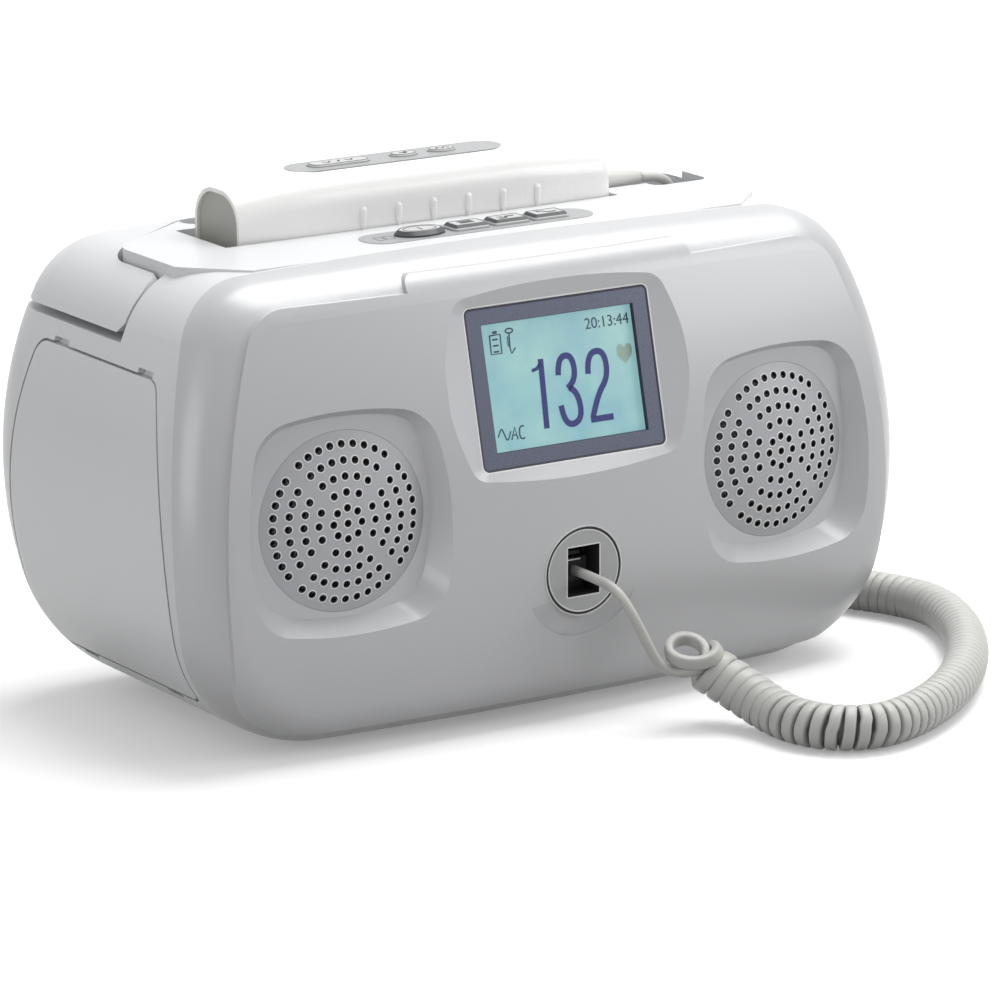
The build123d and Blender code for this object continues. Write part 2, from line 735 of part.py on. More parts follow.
def deck_prism(top_z, bottom_z):
    """The flat deck in front of and beside the probe, as wide as the handle's arms allow."""
    side_x = ARM_INNER_X - HANDLE_GAP
    with BuildPart() as prism:
        with BuildSketch(Plane.XY.offset(bottom_z)):
            with BuildLine():
                Polyline(
                    (-DECK_FRONT_X, DECK_FRONT_Y),
                    (DECK_FRONT_X, DECK_FRONT_Y),
                    (side_x, DECK_CORNER_Y),
                    (side_x, BAR_INNER_Y),
                    (-side_x, BAR_INNER_Y),
                    (-side_x, DECK_CORNER_Y),
                    close=True,
                )
            make_face()
        extrude(amount=top_z - bottom_z)
    return prism.part


outer = casing_form(0, PANEL_RISE)
cavity = casing_form(WALL, PANEL_RISE)
in_front = front_half()

# ---------------------------------------------------------------- front shell
with BuildPart() as front_hollow:
    add(cavity)
    add(lcd_pocket(WALL), mode=Mode.SUBTRACT)
    add(lcd_seat(WALL), mode=Mode.SUBTRACT)
    add(jack_seat(WALL), mode=Mode.SUBTRACT)
    add(rod(JACK_PLANE, 2 * (SCOOP_RADIUS + WALL), 2 * WALL), mode=Mode.SUBTRACT)
    for side in SIDES:
        add(speaker_pocket(side, WALL), mode=Mode.SUBTRACT)
        add(rod(speaker_plane(side), GRILLE_DIAMETER + 2 * WALL, GRILLE_THICK + WALL), mode=Mode.SUBTRACT)
    # bosses that the case screws bite into
    for x, z in TOWERS:
        add(rod(depth_plane(2 * FRONT_Y, x, z), BOSS_DIAMETER, TOWER_FRONT_Y - 2 * FRONT_Y), mode=Mode.SUBTRACT)

socket_width = JACK_OPENING_WIDTH + 2 * JACK_SOCKET_WALL
socket_height = JACK_OPENING_HEIGHT + 2 * JACK_SOCKET_WALL

with BuildPart() as front_panel:
    add(casing_form(0, 0, PANEL_EDGE_RADIUS))
    add(panel_prism(), mode=Mode.INTERSECT)

with BuildPart() as front_shell:
    add(front_panel.part)
    add(outer)
    add(in_front, mode=Mode.INTERSECT)
    add(front_hollow.part, mode=Mode.SUBTRACT)
    for x, z in TOWERS:
        add(rod(depth_plane(TOWER_FRONT_Y - SCREW_LENGTH, x, z), SCREW_DIAMETER, SCREW_LENGTH), mode=Mode.SUBTRACT)
    add(lcd_pocket(0), mode=Mode.SUBTRACT)
    add(lcd_seat(0), mode=Mode.SUBTRACT)
    for side in SIDES:
        rim = speaker_plane(side)
        add(speaker_pocket(side, 0), mode=Mode.SUBTRACT)
        add(rod(rim, GRILLE_DIAMETER + 2 * GRILLE_CLEARANCE, GRILLE_THICK), mode=Mode.SUBTRACT)
        add(rod(rim, GRILLE_DIAMETER - 2 * GRILLE_LEDGE, GRILLE_THICK + 2 * WALL), mode=Mode.SUBTRACT)
    add(jack_seat(0), mode=Mode.SUBTRACT)
    add(block(JACK_PLANE, socket_width, socket_height, JACK_THICK + 2 * WALL), mode=Mode.SUBTRACT)
    # the crescent below the jack is a wide disc tilted down into the face
    with BuildSketch(facing_plane(0, JACK_Z - SCOOP_START, 0, 0, -SCOOP_TILT)):
        with Locations((0, SCOOP_START)):
            Circle(SCOOP_RADIUS)
    extrude(amount=WALL, mode=Mode.SUBTRACT)

# ---------------------------------------------------------------- rear housing
label_plane = Plane.XY.offset(DECK_Z + LABEL_THICK - LABEL_SINK)
key_places = [(KEY_FIRST_X + KEY_PITCH * n, LABEL_Y) for n in range(3)]
power_place = (POWER_KEY_X, LABEL_Y)


def deck_key_shapes(grow):
    """The outlines of the four keys on the deck, for a sketch on any level plane."""
    with Locations(power_place):
        Ellipse(POWER_KEY_LENGTH / 2 + grow, POWER_KEY_WIDTH / 2 + grow)
    with Locations(key_places):
        RectangleRounded(KEY_LENGTH + 2 * grow, KEY_WIDTH + 2 * grow, KEY_CORNER + grow)


key_flange_top = DECK_Z - WALL - KEY_FLANGE_GAP
key_board_top = key_flange_top - KEY_FLANGE_THICK - KEY_TRAVEL - KEY_OVERTRAVEL
key_post_x = KEY_BOARD_LENGTH / 2 - KEY_POST_DIAMETER
cover_seat_face = casing_form(COVER_THICK + COVER_SEAT, PANEL_RISE)
cover_floor_face = casing_form(COVER_THICK + COVER_SEAT + COVER_FLOOR, PANEL_RISE)

with BuildPart() as cover_backing:
    add(cover_prism(COVER_GAP + WALL))
    add(cover_floor_face, mode=Mode.SUBTRACT)

with BuildPart() as rear_hollow:
    add(cavity)
    add(handle_prism(HANDLE_GAP + WALL, LEDGE_Z - WALL), mode=Mode.SUBTRACT)
    for hollow in (cradle, finger_well, cable_slot, gland_slot, battery_bay):
        add(hollow(WALL), mode=Mode.SUBTRACT)
    add(cover_backing.part, mode=Mode.SUBTRACT)
    add(deck_prism(PRISM, DECK_Z - WALL), mode=Mode.SUBTRACT)
    # screw towers reach from the rear wall to the parting line
    for x, z in TOWERS:
        add(rod(depth_plane(TOWER_FRONT_Y, x, z), TOWER_DIAMETER, DEPTH), mode=Mode.SUBTRACT)
    # posts under the chassis
    with BuildSketch(Plane.XY):
        with GridLocations(CHASSIS_LENGTH - 2 * CHASSIS_POST_INSET, CHASSIS_WIDTH - 2 * CHASSIS_POST_INSET, 2, 2):
            Circle(CHASSIS_POST_DIAMETER / 2)
    extrude(amount=CHASSIS_Z, mode=Mode.SUBTRACT)
    # posts that the key board hangs on
    with BuildSketch(Plane.XY.offset(key_board_top)):
        with Locations((LABEL_X - key_post_x, LABEL_Y), (LABEL_X + key_post_x, LABEL_Y)):
            Circle(KEY_POST_DIAMETER / 2)
    extrude(amount=BODY_HEIGHT, mode=Mode.SUBTRACT)
    # blocks that the handle's pins turn in
    with BuildSketch(Plane.XY.offset(PIVOT_Z - PIN_BOSS_WIDTH / 2)):
        with Locations([(side * (ARM_INNER_X - PIN_INBOARD - WALL), PIVOT_Y) for side in SIDES]):
            Rectangle(2 * PIN_INBOARD, PIN_BOSS_WIDTH)
    extrude(amount=BODY_HEIGHT, mode=Mode.SUBTRACT)

with BuildPart() as cover_recess:
    add(cover_prism(COVER_GAP))
    # notches that a fingernail or a screwdriver goes into to lift the cover off
    for y in CATCH_PLACES:
        for z in (COVER_TOP_Z, COVER_BOTTOM_Z):
            add(
                box_between(
                    (-WIDTH, -WIDTH / 4),
                    (y - CATCH_LENGTH / 2, y + CATCH_LENGTH / 2),
                    (z - CATCH_HEIGHT, z + CATCH_HEIGHT),
                )
            )
    add(cover_seat_face, mode=Mode.SUBTRACT)

with BuildPart() as rear_housing:
    add(outer)
    add(deck_prism(DECK_Z, DECK_Z - TOP_CORNER_RADIUS))
    add(deck_prism(PRISM, DECK_Z), mode=Mode.SUBTRACT)
    add(in_front, mode=Mode.SUBTRACT)
    add(rear_hollow.part, mode=Mode.SUBTRACT)
    add(handle_prism(HANDLE_GAP, LEDGE_Z), mode=Mode.SUBTRACT)
    for hollow in (cradle, finger_well, cable_slot, gland_slot, battery_bay, inlet_hole):
        add(hollow(0), mode=Mode.SUBTRACT)
    add(cover_recess.part, mode=Mode.SUBTRACT)
    add(block(INLET_PLANE.offset(WALL), INLET_WIDTH + 2 * INLET_FLANGE, INLET_HEIGHT + 2 * INLET_FLANGE, WALL),
        mode=Mode.SUBTRACT)
    for x, z in TOWERS:
        bore_y = TOWER_FRONT_Y + TOWER_WEB
        add(rod(depth_plane(bore_y, x, z), TOWER_BORE_DIAMETER, DEPTH), mode=Mode.SUBTRACT)
        add(rod(depth_plane(TOWER_FRONT_Y, x, z), SCREW_DIAMETER, DEPTH), mode=Mode.SUBTRACT)
    with BuildSketch(Plane.YZ.offset(-ARM_INNER_X)):
        with Locations((PIVOT_Y, PIVOT_Z)):
            Circle(PIN_DIAMETER / 2 + PIN_CLEARANCE)
    extrude(amount=PIN_INBOARD, mode=Mode.SUBTRACT)
    with BuildSketch(Plane.YZ.offset(ARM_INNER_X)):
        with Locations((PIVOT_Y, PIVOT_Z)):
            Circle(PIN_DIAMETER / 2 + PIN_CLEARANCE)
    extrude(amount=-PIN_INBOARD, mode=Mode.SUBTRACT)
    # the label's recess and the key holes
    with BuildSketch(Plane.XY.offset(DECK_Z)):
        with Locations((LABEL_X, LABEL_Y)):
            SlotOverall(LABEL_LENGTH, LABEL_WIDTH)
    extrude(amount=-LABEL_SINK, mode=Mode.SUBTRACT)
    with BuildSketch(Plane.XY.offset(DECK_Z)):
        deck_key_shapes(KEY_CLEARANCE)
    extrude(amount=-2 * WALL, mode=Mode.SUBTRACT)
    # recesses for the feet
    with BuildSketch(Plane.XY.offset(BODY_BOTTOM + FOOT_SINK)):
        with Locations([(side * FOOT_X, y) for side in SIDES for y in (FOOT_FRONT_Y, FOOT_REAR_Y)]):
            Circle(FOOT_DIAMETER / 2)
    extrude(amount=-FOOT_SINK - FOOT_HEIGHT, mode=Mode.SUBTRACT)

# ---------------------------------------------------------------- side cover
with BuildPart() as side_cover:
    add(outer)
    add(cover_prism(0), mode=Mode.INTERSECT)
    add(casing_form(COVER_THICK, PANEL_RISE), mode=Mode.SUBTRACT)

# ---------------------------------------------------------------- carry handle and its pins
with BuildPart() as carry_handle:
    add(outer)
    add(handle_prism(0, HANDLE_BOTTOM_Z), mode=Mode.INTERSECT)
    # the toes are round about the pivot, so that the handle can stand up
    with BuildSketch(Plane.YZ):
        with Locations((ARM_FRONT_Y, PIVOT_Z)):
            Rectangle(PIVOT_Y - ARM_FRONT_Y, BODY_HEIGHT, align=(Align.MIN, Align.MIN))
        with Locations((PIVOT_Y, PIVOT_Z)):
            Circle(PIVOT_Y - ARM_FRONT_Y, mode=Mode.SUBTRACT)
    extrude(amount=WIDTH, both=True, mode=Mode.SUBTRACT)
    toe_edges = carry_handle.edges().filter_by(Axis.X).group_by(Axis.Z)[0].group_by(Axis.Y)[0]
    chamfer(toe_edges, TOE_CHAMFER)
    for side in SIDES:
        with BuildSketch(Plane.YZ.offset(side * ARM_INNER_X)):
            with Locations((PIVOT_Y, PIVOT_Z)):
                Circle(PIN_DIAMETER / 2)
        extrude(amount=side * PIN_OUTBOARD, mode=Mode.SUBTRACT)

with BuildPart() as handle_pins:
    for side in SIDES:
        with BuildSketch(Plane.YZ.offset(side * (ARM_INNER_X + PIN_OUTBOARD))):
            with Locations((PIVOT_Y, PIVOT_Z)):
                Circle(PIN_DIAMETER / 2)
        extrude(amount=-side * (PIN_OUTBOARD + PIN_INBOARD - WALL / 2))

# ---------------------------------------------------------------- speaker grilles and drivers
def grille_hole_places():
    """Holes on rings, each ring in four groups that leave plain diagonals between them."""
    places = [(0, 0)]
    first = GRILLE_RING_PITCH
    places += [(first * cos(radians(45 * n)), first * sin(radians(45 * n))) for n in range(8)]
    for ring in range(2, GRILLE_RINGS + 1):
        radius = GRILLE_RING_PITCH * ring
        count = 2 * ring - 1
        half_span = 45 - degrees(asin(GRILLE_SPOKE / 2 / radius))
        for quarter in range(4):
            for n in range(count):
                angle = radians(90 * quarter - half_span + 2 * half_span * n / (count - 1))
                places.append((radius * cos(angle), radius * sin(angle)))
    return places


def speaker_grille(side):
    """A domed disc with a thick rim, pierced in rings."""
    rim = speaker_plane(side)
    rim_radius = GRILLE_DIAMETER / 2
    seat_radius = rim_radius - GRILLE_LEDGE
    crown = arc_drop(GRILLE_DOME_RADIUS, rim_radius)
    with BuildPart() as grille:
        with BuildSketch(profile_plane(rim)):
            with BuildLine():
                RadiusArc((0, crown), (rim_radius, 0), GRILLE_DOME_RADIUS)
                Line((rim_radius, 0), (rim_radius, -GRILLE_THICK))
                Line((rim_radius, -GRILLE_THICK), (seat_radius, -GRILLE_THICK))
                RadiusArc((seat_radius, -GRILLE_THICK), (0, crown - GRILLE_THICK), -GRILLE_DOME_RADIUS)
                Line((0, crown - GRILLE_THICK), (0, crown))
            make_face()
        revolve(axis=Axis(rim.origin, rim.z_dir))
        with BuildSketch(rim.offset(-GRILLE_THICK - WALL)):
            with Locations(grille_hole_places()):
                RegularPolygon(GRILLE_HOLE_DIAMETER / 2, GRILLE_HOLE_SIDES)
        extrude(amount=GRILLE_THICK + crown + 2 * WALL, mode=Mode.SUBTRACT)
    return grille


def speaker_driver(side):
    """A cone loudspeaker: rim, cone, basket and magnet turned as one."""
    seat = speaker_plane(side).offset(-GRILLE_THICK - WALL)
    with BuildPart() as driver:
        with BuildSketch(profile_plane(seat)):
            with BuildLine():
                Polyline(
                    (0, DUST_CAP_DIAMETER / 4 - CONE_DEPTH),
                    (DUST_CAP_DIAMETER / 2, -CONE_DEPTH),
                    (CONE_DIAMETER / 2, -DRIVER_RIM_THICK / 3),
                    (CONE_DIAMETER / 2, 0),
                    (DRIVER_DIAMETER / 2, 0),
                    (DRIVER_DIAMETER / 2, -DRIVER_RIM_THICK),
                    (CONE_DIAMETER / 2, -DRIVER_RIM_THICK),
                    (MAGNET_DIAMETER / 2, -BASKET_DEPTH),
                    (MAGNET_DIAMETER / 2, -BASKET_DEPTH - MAGNET_HEIGHT),
                    (0, -BASKET_DEPTH - MAGNET_HEIGHT),
                    close=True,
                )
            make_face()
        revolve(axis=Axis(seat.origin, seat.z_dir))
    return driver


# ---------------------------------------------------------------- display
window_back = LCD_PLANE.offset(-BEZEL_THICK)

with BuildPart() as lcd_bezel:
    with BuildSketch(LCD_PLANE):
        RectangleRounded(BEZEL_WIDTH, BEZEL_HEIGHT, BEZEL_CORNER)
        Rectangle(WINDOW_WIDTH, WINDOW_HEIGHT, mode=Mode.SUBTRACT)
    extrude(amount=-BEZEL_THICK)
    with BuildSketch(window_back):
        Rectangle(WINDOW_WIDTH + 2 * WINDOW_LEDGE, WINDOW_HEIGHT + 2 * WINDOW_LEDGE)
    extrude(amount=WINDOW_THICK, mode=Mode.SUBTRACT)

with BuildPart() as lcd_window:
    with BuildSketch(window_back):
        Rectangle(WINDOW_WIDTH + 2 * WINDOW_LEDGE, WINDOW_HEIGHT + 2 * WINDOW_LEDGE)
    extrude(amount=WINDOW_THICK)

with BuildPart() as lcd_module:
    with BuildSketch(window_back):
        RectangleRounded(BEZEL_WIDTH, BEZEL_HEIGHT, BEZEL_CORNER)
    extrude(amount=-LCD_MODULE_THICK)

# ---------------------------------------------------------------- front jack and the plug in it
with BuildPart() as jack_plate:
    with BuildSketch(JACK_PLANE):
        Circle(JACK_DIAMETER / 2)
        Rectangle(JACK_OPENING_WIDTH, JACK_OPENING_HEIGHT, mode=Mode.SUBTRACT)
    extrude(amount=-JACK_THICK)

plug_room = PLUG_HEIGHT + LATCH_GAP + LATCH_THICK + PLUG_CLEARANCE
plug_low = PLUG_Z - PLUG_HEIGHT / 2 - JACK_Z

with BuildPart() as jack_socket:
    with BuildSketch(JACK_PLANE.offset(-JACK_THICK)):
        Rectangle(socket_width, socket_height)
    extrude(amount=JACK_THICK - JACK_SOCKET_DEPTH)
    with BuildSketch(JACK_PLANE):
        Rectangle(JACK_OPENING_WIDTH, JACK_OPENING_HEIGHT)
    extrude(amount=-JACK_OPENING_DEPTH, mode=Mode.SUBTRACT)
    with BuildSketch(JACK_PLANE):
        with Locations((0, plug_low + plug_room / 2)):
            Rectangle(PLUG_WIDTH + 2 * PLUG_CLEARANCE, plug_room)
    extrude(amount=PLUG_SHOW - JACK_OPENING_DEPTH - PLUG_LENGTH, mode=Mode.SUBTRACT)

plug_face = JACK_PLANE.offset(PLUG_SHOW - JACK_OPENING_DEPTH)

with BuildPart() as front_plug:
    with BuildSketch(plug_face):
        with Locations((0, plug_low + PLUG_HEIGHT / 2)):
            Rectangle(PLUG_WIDTH, PLUG_HEIGHT)
    extrude(amount=-PLUG_LENGTH)
    # the latch lies over the body and joins it at the nose
    with BuildSketch(plug_face.offset(-PLUG_LENGTH)):
        with Locations((0, plug_low + PLUG_HEIGHT)):
            Rectangle(LATCH_WIDTH, LATCH_GAP + LATCH_THICK, align=(Align.CENTER, Align.MIN))
    extrude(amount=PLUG_LENGTH)
    with BuildSketch(plug_face):
        with Locations((0, plug_low + PLUG_HEIGHT)):
            Rectangle(LATCH_WIDTH, LATCH_GAP, align=(Align.CENTER, Align.MIN))
    extrude(amount=2 * LATCH_THICK - PLUG_LENGTH, mode=Mode.SUBTRACT)

# ---------------------------------------------------------------- deck label and keys
with BuildPart() as deck_label:
    with BuildSketch(label_plane):
        with Locations((LABEL_X, LABEL_Y)):
            SlotOverall(LABEL_LENGTH, LABEL_WIDTH)
    extrude(amount=-LABEL_THICK)
    with BuildSketch(label_plane):
        deck_key_shapes(KEY_CLEARANCE)
    extrude(amount=-LABEL_THICK, mode=Mode.SUBTRACT)


def key_piece(shape, flange_top, flange_thick, top_z, edge):
    """A key: a flange that stays under the skin and a stem that stands out of it."""
    with BuildPart() as key:
        with BuildSketch(Plane.XY.offset(flange_top - flange_thick)):
            shape(KEY_FLANGE)
        extrude(amount=flange_thick)
        with BuildSketch(Plane.XY.offset(flange_top)):
            shape(0)
        extrude(amount=top_z - flange_top)
        chamfer(key.faces().sort_by(Axis.Z)[-1].edges(), edge)
    return key


def power_shape(grow):
    with Locations(power_place):
        Ellipse(POWER_KEY_LENGTH / 2 + grow, POWER_KEY_WIDTH / 2 + grow)


def deck_key_shape(place):
    def shape(grow):
        with Locations(place):
            RectangleRounded(KEY_LENGTH + 2 * grow, KEY_WIDTH + 2 * grow, KEY_CORNER + grow)

    return shape


key_top = DECK_Z + KEY_RISE
power_key = key_piece(power_shape, key_flange_top, KEY_FLANGE_THICK, key_top, KEY_CHAMFER)
deck_keys = [
    key_piece(deck_key_shape(place), key_flange_top, KEY_FLANGE_THICK, key_top, KEY_CHAMFER) for place in key_places
]

with BuildPart() as key_board:
    with BuildSketch(Plane.XY.offset(key_board_top)):
        with Locations((LABEL_X, LABEL_Y)):
            Rectangle(KEY_BOARD_LENGTH, KEY_BOARD_WIDTH)
    extrude(amount=-KEY_BOARD_THICK)

# ---------------------------------------------------------------- probe
def probe_section(x, inset, drop=0.0):
    """The probe's section at x, with a round crown and keel, shrunk by inset, its top lowered by drop."""
    top_z = PROBE_TOP_Z - inset - drop
    low_z = PROBE_BOTTOM_Z + inset
    with BuildSketch(Plane.YZ.offset(x)) as section:
        with Locations((PROBE_Y, (top_z + low_z) / 2)):
            Rectangle(PROBE_WIDTH - 2 * inset, top_z - low_z)
        fillet(vertices().sort_by(Axis.Y)[-2:], PROBE_CROWN_RADIUS - inset)
        fillet(vertices().sort_by(Axis.Y)[:2], PROBE_KEEL_RADIUS - inset)
    return section.sketch


def probe_bar(inset, left_x, right_x):
    """The probe's body from its seam, level and then sloping down to its rounded right end."""
    with BuildPart() as bar:
        for ends in (
            (probe_section(left_x, inset), probe_section(PROBE_SLOPE_X, inset)),
            (probe_section(PROBE_SLOPE_X, inset), probe_section(right_x, inset, PROBE_SLOPE_DROP)),
        ):
            add(ends)
            loft(ruled=True)
        fillet(bar.faces().sort_by(Axis.X)[-1].edges(), PROBE_END_RADIUS - inset)
    return bar.part


def probe_face_shape(grow):
    """The D of the transducer's face, for a sketch whose X is the depth and Y the height."""
    with Locations((PROBE_Y, (FACE_TOP_Z + FACE_BOTTOM_Z) / 2)):
        Rectangle(FACE_WIDTH + 2 * grow, FACE_TOP_Z - FACE_BOTTOM_Z + 2 * grow)
    fillet(vertices().sort_by(Axis.Y)[-2:], PROBE_CROWN_RADIUS + grow)
    fillet(vertices().sort_by(Axis.Y)[:2], PROBE_KEEL_RADIUS + grow)


def long_key_shape(grow):
    with Locations((PROBE_KEY_X, PROBE_Y)):
        SlotOverall(PROBE_KEY_LENGTH + 2 * grow, PROBE_KEY_WIDTH + 2 * grow)


def oval_key_shape(x):
    def shape(grow):
        with Locations((x, PROBE_Y)):
            Ellipse(OVAL_KEY_LENGTH / 2 + grow, OVAL_KEY_WIDTH / 2 + grow)

    return shape


probe_key_shapes = [long_key_shape] + [oval_key_shape(x) for x in OVAL_KEY_X]
probe_flat_z = PROBE_TOP_Z - PROBE_FLAT_DROP
probe_roof_z = PROBE_TOP_Z - PROBE_WALL
probe_flange_top = probe_roof_z - KEY_FLANGE_GAP
probe_board_top = probe_flange_top - KEY_FLANGE_THICK - PROBE_KEY_TRAVEL - KEY_OVERTRAVEL
probe_post_x = PROBE_BOARD_LENGTH / 2 - PROBE_POST_DIAMETER

with BuildPart() as probe_hull:
    add(probe_bar(0, PROBE_SEAM_X, PROBE_RIGHT_X))
    add(probe_bar(PROBE_WALL, PROBE_SEAM_X + PROBE_WALL, PROBE_RIGHT_X - PROBE_WALL), mode=Mode.SUBTRACT)

with BuildPart() as probe_base:
    add(probe_hull.part)
    split(bisect_by=Plane.XY.offset(PROBE_SPLIT_Z), keep=Keep.BOTTOM)

with BuildPart() as probe_cover:
    add(probe_hull.part)
    split(bisect_by=Plane.XY.offset(PROBE_SPLIT_Z), keep=Keep.TOP)
    # grip ribs up the front side
    rib_y = PROBE_Y - PROBE_WIDTH / 2
    with BuildSketch(Plane.XY.offset(PROBE_SPLIT_Z + PROBE_WALL)):
        with Locations([(RIB_FIRST_X + RIB_PITCH * n, rib_y + RIB_RADIUS / 2) for n in range(RIB_COUNT)]):
            Circle(RIB_RADIUS)
    extrude(amount=RIB_TOP_Z - PROBE_SPLIT_Z - PROBE_WALL)
    # a flat for the label, then posts for the board under the roof
    with BuildSketch(Plane.XY.offset(probe_flat_z)):
        with Locations((PROBE_LABEL_X, PROBE_Y)):
            SlotOverall(PROBE_LABEL_LENGTH, PROBE_LABEL_WIDTH)
    extrude(amount=PROBE_WALL, mode=Mode.SUBTRACT)
    with BuildSketch(Plane.XY.offset(probe_board_top)):
        with Locations([(PROBE_BOARD_X + side * probe_post_x, PROBE_Y) for side in SIDES]):
            Circle(PROBE_POST_DIAMETER / 2)
    extrude(amount=probe_roof_z - probe_board_top)
    with BuildSketch(Plane.XY.offset(probe_roof_z - WALL)):
        for shape in probe_key_shapes:
            shape(KEY_CLEARANCE)
    extrude(amount=2 * WALL, mode=Mode.SUBTRACT)

with BuildPart() as probe_label:
    with BuildSketch(Plane.XY.offset(probe_flat_z)):
        with Locations((PROBE_LABEL_X, PROBE_Y)):
            SlotOverall(PROBE_LABEL_LENGTH, PROBE_LABEL_WIDTH)
        with BuildSketch(mode=Mode.SUBTRACT):
            for shape in probe_key_shapes:
                shape(KEY_CLEARANCE)
    extrude(amount=PROBE_LABEL_THICK)

probe_keys = [
    key_piece(shape, probe_flange_top, KEY_FLANGE_THICK, probe_flat_z + PROBE_KEY_RISE, PROBE_KEY_CHAMFER)
    for shape in probe_key_shapes
]

with BuildPart() as probe_board:
    with BuildSketch(Plane.XY.offset(probe_board_top)):
        with Locations((PROBE_BOARD_X, PROBE_Y)):
            Rectangle(PROBE_BOARD_LENGTH, PROBE_BOARD_WIDTH)
    extrude(amount=-PROBE_BOARD_THICK)

face_back_x = PROBE_LEFT_X + FACE_RECESS + FACE_THICK

with BuildPart() as probe_head:
    add(probe_section(PROBE_SEAM_X, 0))
    add(probe_section(HEAD_MID_X, HEAD_MID_INSET, HEAD_MID_DROP))
    with BuildSketch(Plane.YZ.offset(PROBE_LEFT_X)):
        probe_face_shape(0)
    loft()
    # the label's flat runs on over the head
    with BuildSketch(Plane.XY.offset(probe_flat_z)):
        with Locations((PROBE_LABEL_X, PROBE_Y)):
            SlotOverall(PROBE_LABEL_LENGTH, PROBE_LABEL_WIDTH)
    extrude(amount=PROBE_WALL, mode=Mode.SUBTRACT)
    with BuildSketch(Plane.YZ.offset(PROBE_LEFT_X)):
        probe_face_shape(-FACE_RIM)
    extrude(amount=FACE_RECESS + FACE_THICK, mode=Mode.SUBTRACT)
    with BuildSketch(Plane.YZ.offset(face_back_x)):
        with Locations((PROBE_Y, (FACE_TOP_Z + FACE_BOTTOM_Z) / 2)):
            Circle(CRYSTAL_DIAMETER / 2)
    extrude(amount=CRYSTAL_THICK, mode=Mode.SUBTRACT)

with BuildPart() as transducer_face:
    with BuildSketch(Plane.YZ.offset(PROBE_LEFT_X + FACE_RECESS)):
        probe_face_shape(-FACE_RIM - FACE_CLEARANCE)
    extrude(amount=FACE_THICK)

with BuildPart() as probe_crystals:
    with BuildSketch(Plane.YZ.offset(face_back_x)):
        with Locations((PROBE_Y, (FACE_TOP_Z + FACE_BOTTOM_Z) / 2)):
            Circle(CRYSTAL_DIAMETER / 2 - FACE_CLEARANCE)
            Rectangle(CRYSTAL_SPLIT, CRYSTAL_DIAMETER, mode=Mode.SUBTRACT)
    extrude(amount=CRYSTAL_THICK)

gland_root = Plane(origin=(PROBE_RIGHT_X, PROBE_Y, GLAND_Z), x_dir=(0, 1, 0), z_dir=(1, 0, 0))
with BuildPart() as probe_gland:
    with BuildSketch(gland_root):
        Circle(GLAND_ROOT_DIAMETER / 2)
    with BuildSketch(gland_root.offset(GLAND_LENGTH)):
        Circle(GLAND_TIP_DIAMETER / 2)
    loft()

# ---------------------------------------------------------------- cord
def cord_tube(route, diameter):
    """A tube along straight runs, joined by arcs as large as the runs allow."""
    corners = [Vector(*place) for place in route]
    radii = []
    for before, corner, after in zip(corners, corners[1:], corners[2:]):
        run_in = corner - before
        run_out = after - corner
        half_turn = radians(run_in.get_angle(run_out)) / 2
        radii.append(ARC_SHARE * min(run_in.length, run_out.length) / tan(half_turn))
    with BuildPart() as tube:
        with BuildLine() as path:
            FilletPolyline(*corners, radius=radii)
        with BuildSketch(Plane(origin=corners[0], z_dir=corners[1] - corners[0])):
            Circle(diameter / 2)
        sweep()
    length = sum(edge.length for edge in path.edges())
    print(f"cord {length:.1f} long, volume {tube.part.volume / (pi * diameter**2 / 4 * length):.4f} of a straight one,",
          "radii", [round(radius, 1) for radius in radii])
    return tube


cord_front_lead = cord_tube(FRONT_LEAD_ROUTE, CORD_DIAMETER)
cord_coil = cord_tube(COIL_ROUTE, COIL_DIAMETER)
cord_rear_lead = cord_tube(REAR_LEAD_ROUTE, CORD_DIAMETER)

# ---------------------------------------------------------------- pieces inside the casing
with BuildPart() as chassis:
    with BuildSketch(Plane.XY.offset(CHASSIS_Z)):
        Rectangle(CHASSIS_LENGTH, CHASSIS_WIDTH)
    extrude(amount=CHASSIS_THICK)
    with BuildSketch(Plane.XY.offset(CHASSIS_Z + CHASSIS_THICK)):
        with Locations((BOARD_X, 0)):
            with GridLocations(BOARD_LENGTH - 2 * STANDOFF_INSET, BOARD_WIDTH - 2 * STANDOFF_INSET, 2, 2):
                Circle(STANDOFF_DIAMETER / 2)
    extrude(amount=STANDOFF_HEIGHT)

board_z = CHASSIS_Z + CHASSIS_THICK + STANDOFF_HEIGHT
with BuildPart() as main_board:
    with BuildSketch(Plane.XY.offset(board_z)):
        with Locations((BOARD_X, 0)):
            Rectangle(BOARD_LENGTH, BOARD_WIDTH)
    extrude(amount=BOARD_THICK)
    # two chips and a connector
    with BuildSketch(Plane.XY.offset(board_z + BOARD_THICK)):
        with Locations((BOARD_X - BOARD_LENGTH / 5, 0), (BOARD_X + BOARD_LENGTH / 8, 0)):
            Rectangle(BOARD_WIDTH / 3, BOARD_WIDTH / 3)
        with Locations((BOARD_X + BOARD_LENGTH * 0.4, 0)):
            Rectangle(BOARD_WIDTH / 8, BOARD_WIDTH / 2)
    extrude(amount=2 * BOARD_THICK)

with BuildPart() as power_module:
    with BuildSketch(Plane.XY.offset(CHASSIS_Z + CHASSIS_THICK)):
        with Locations((POWER_MODULE_X, 0)):
            Rectangle(POWER_MODULE_LENGTH, POWER_MODULE_WIDTH)
    extrude(amount=POWER_MODULE_HEIGHT)

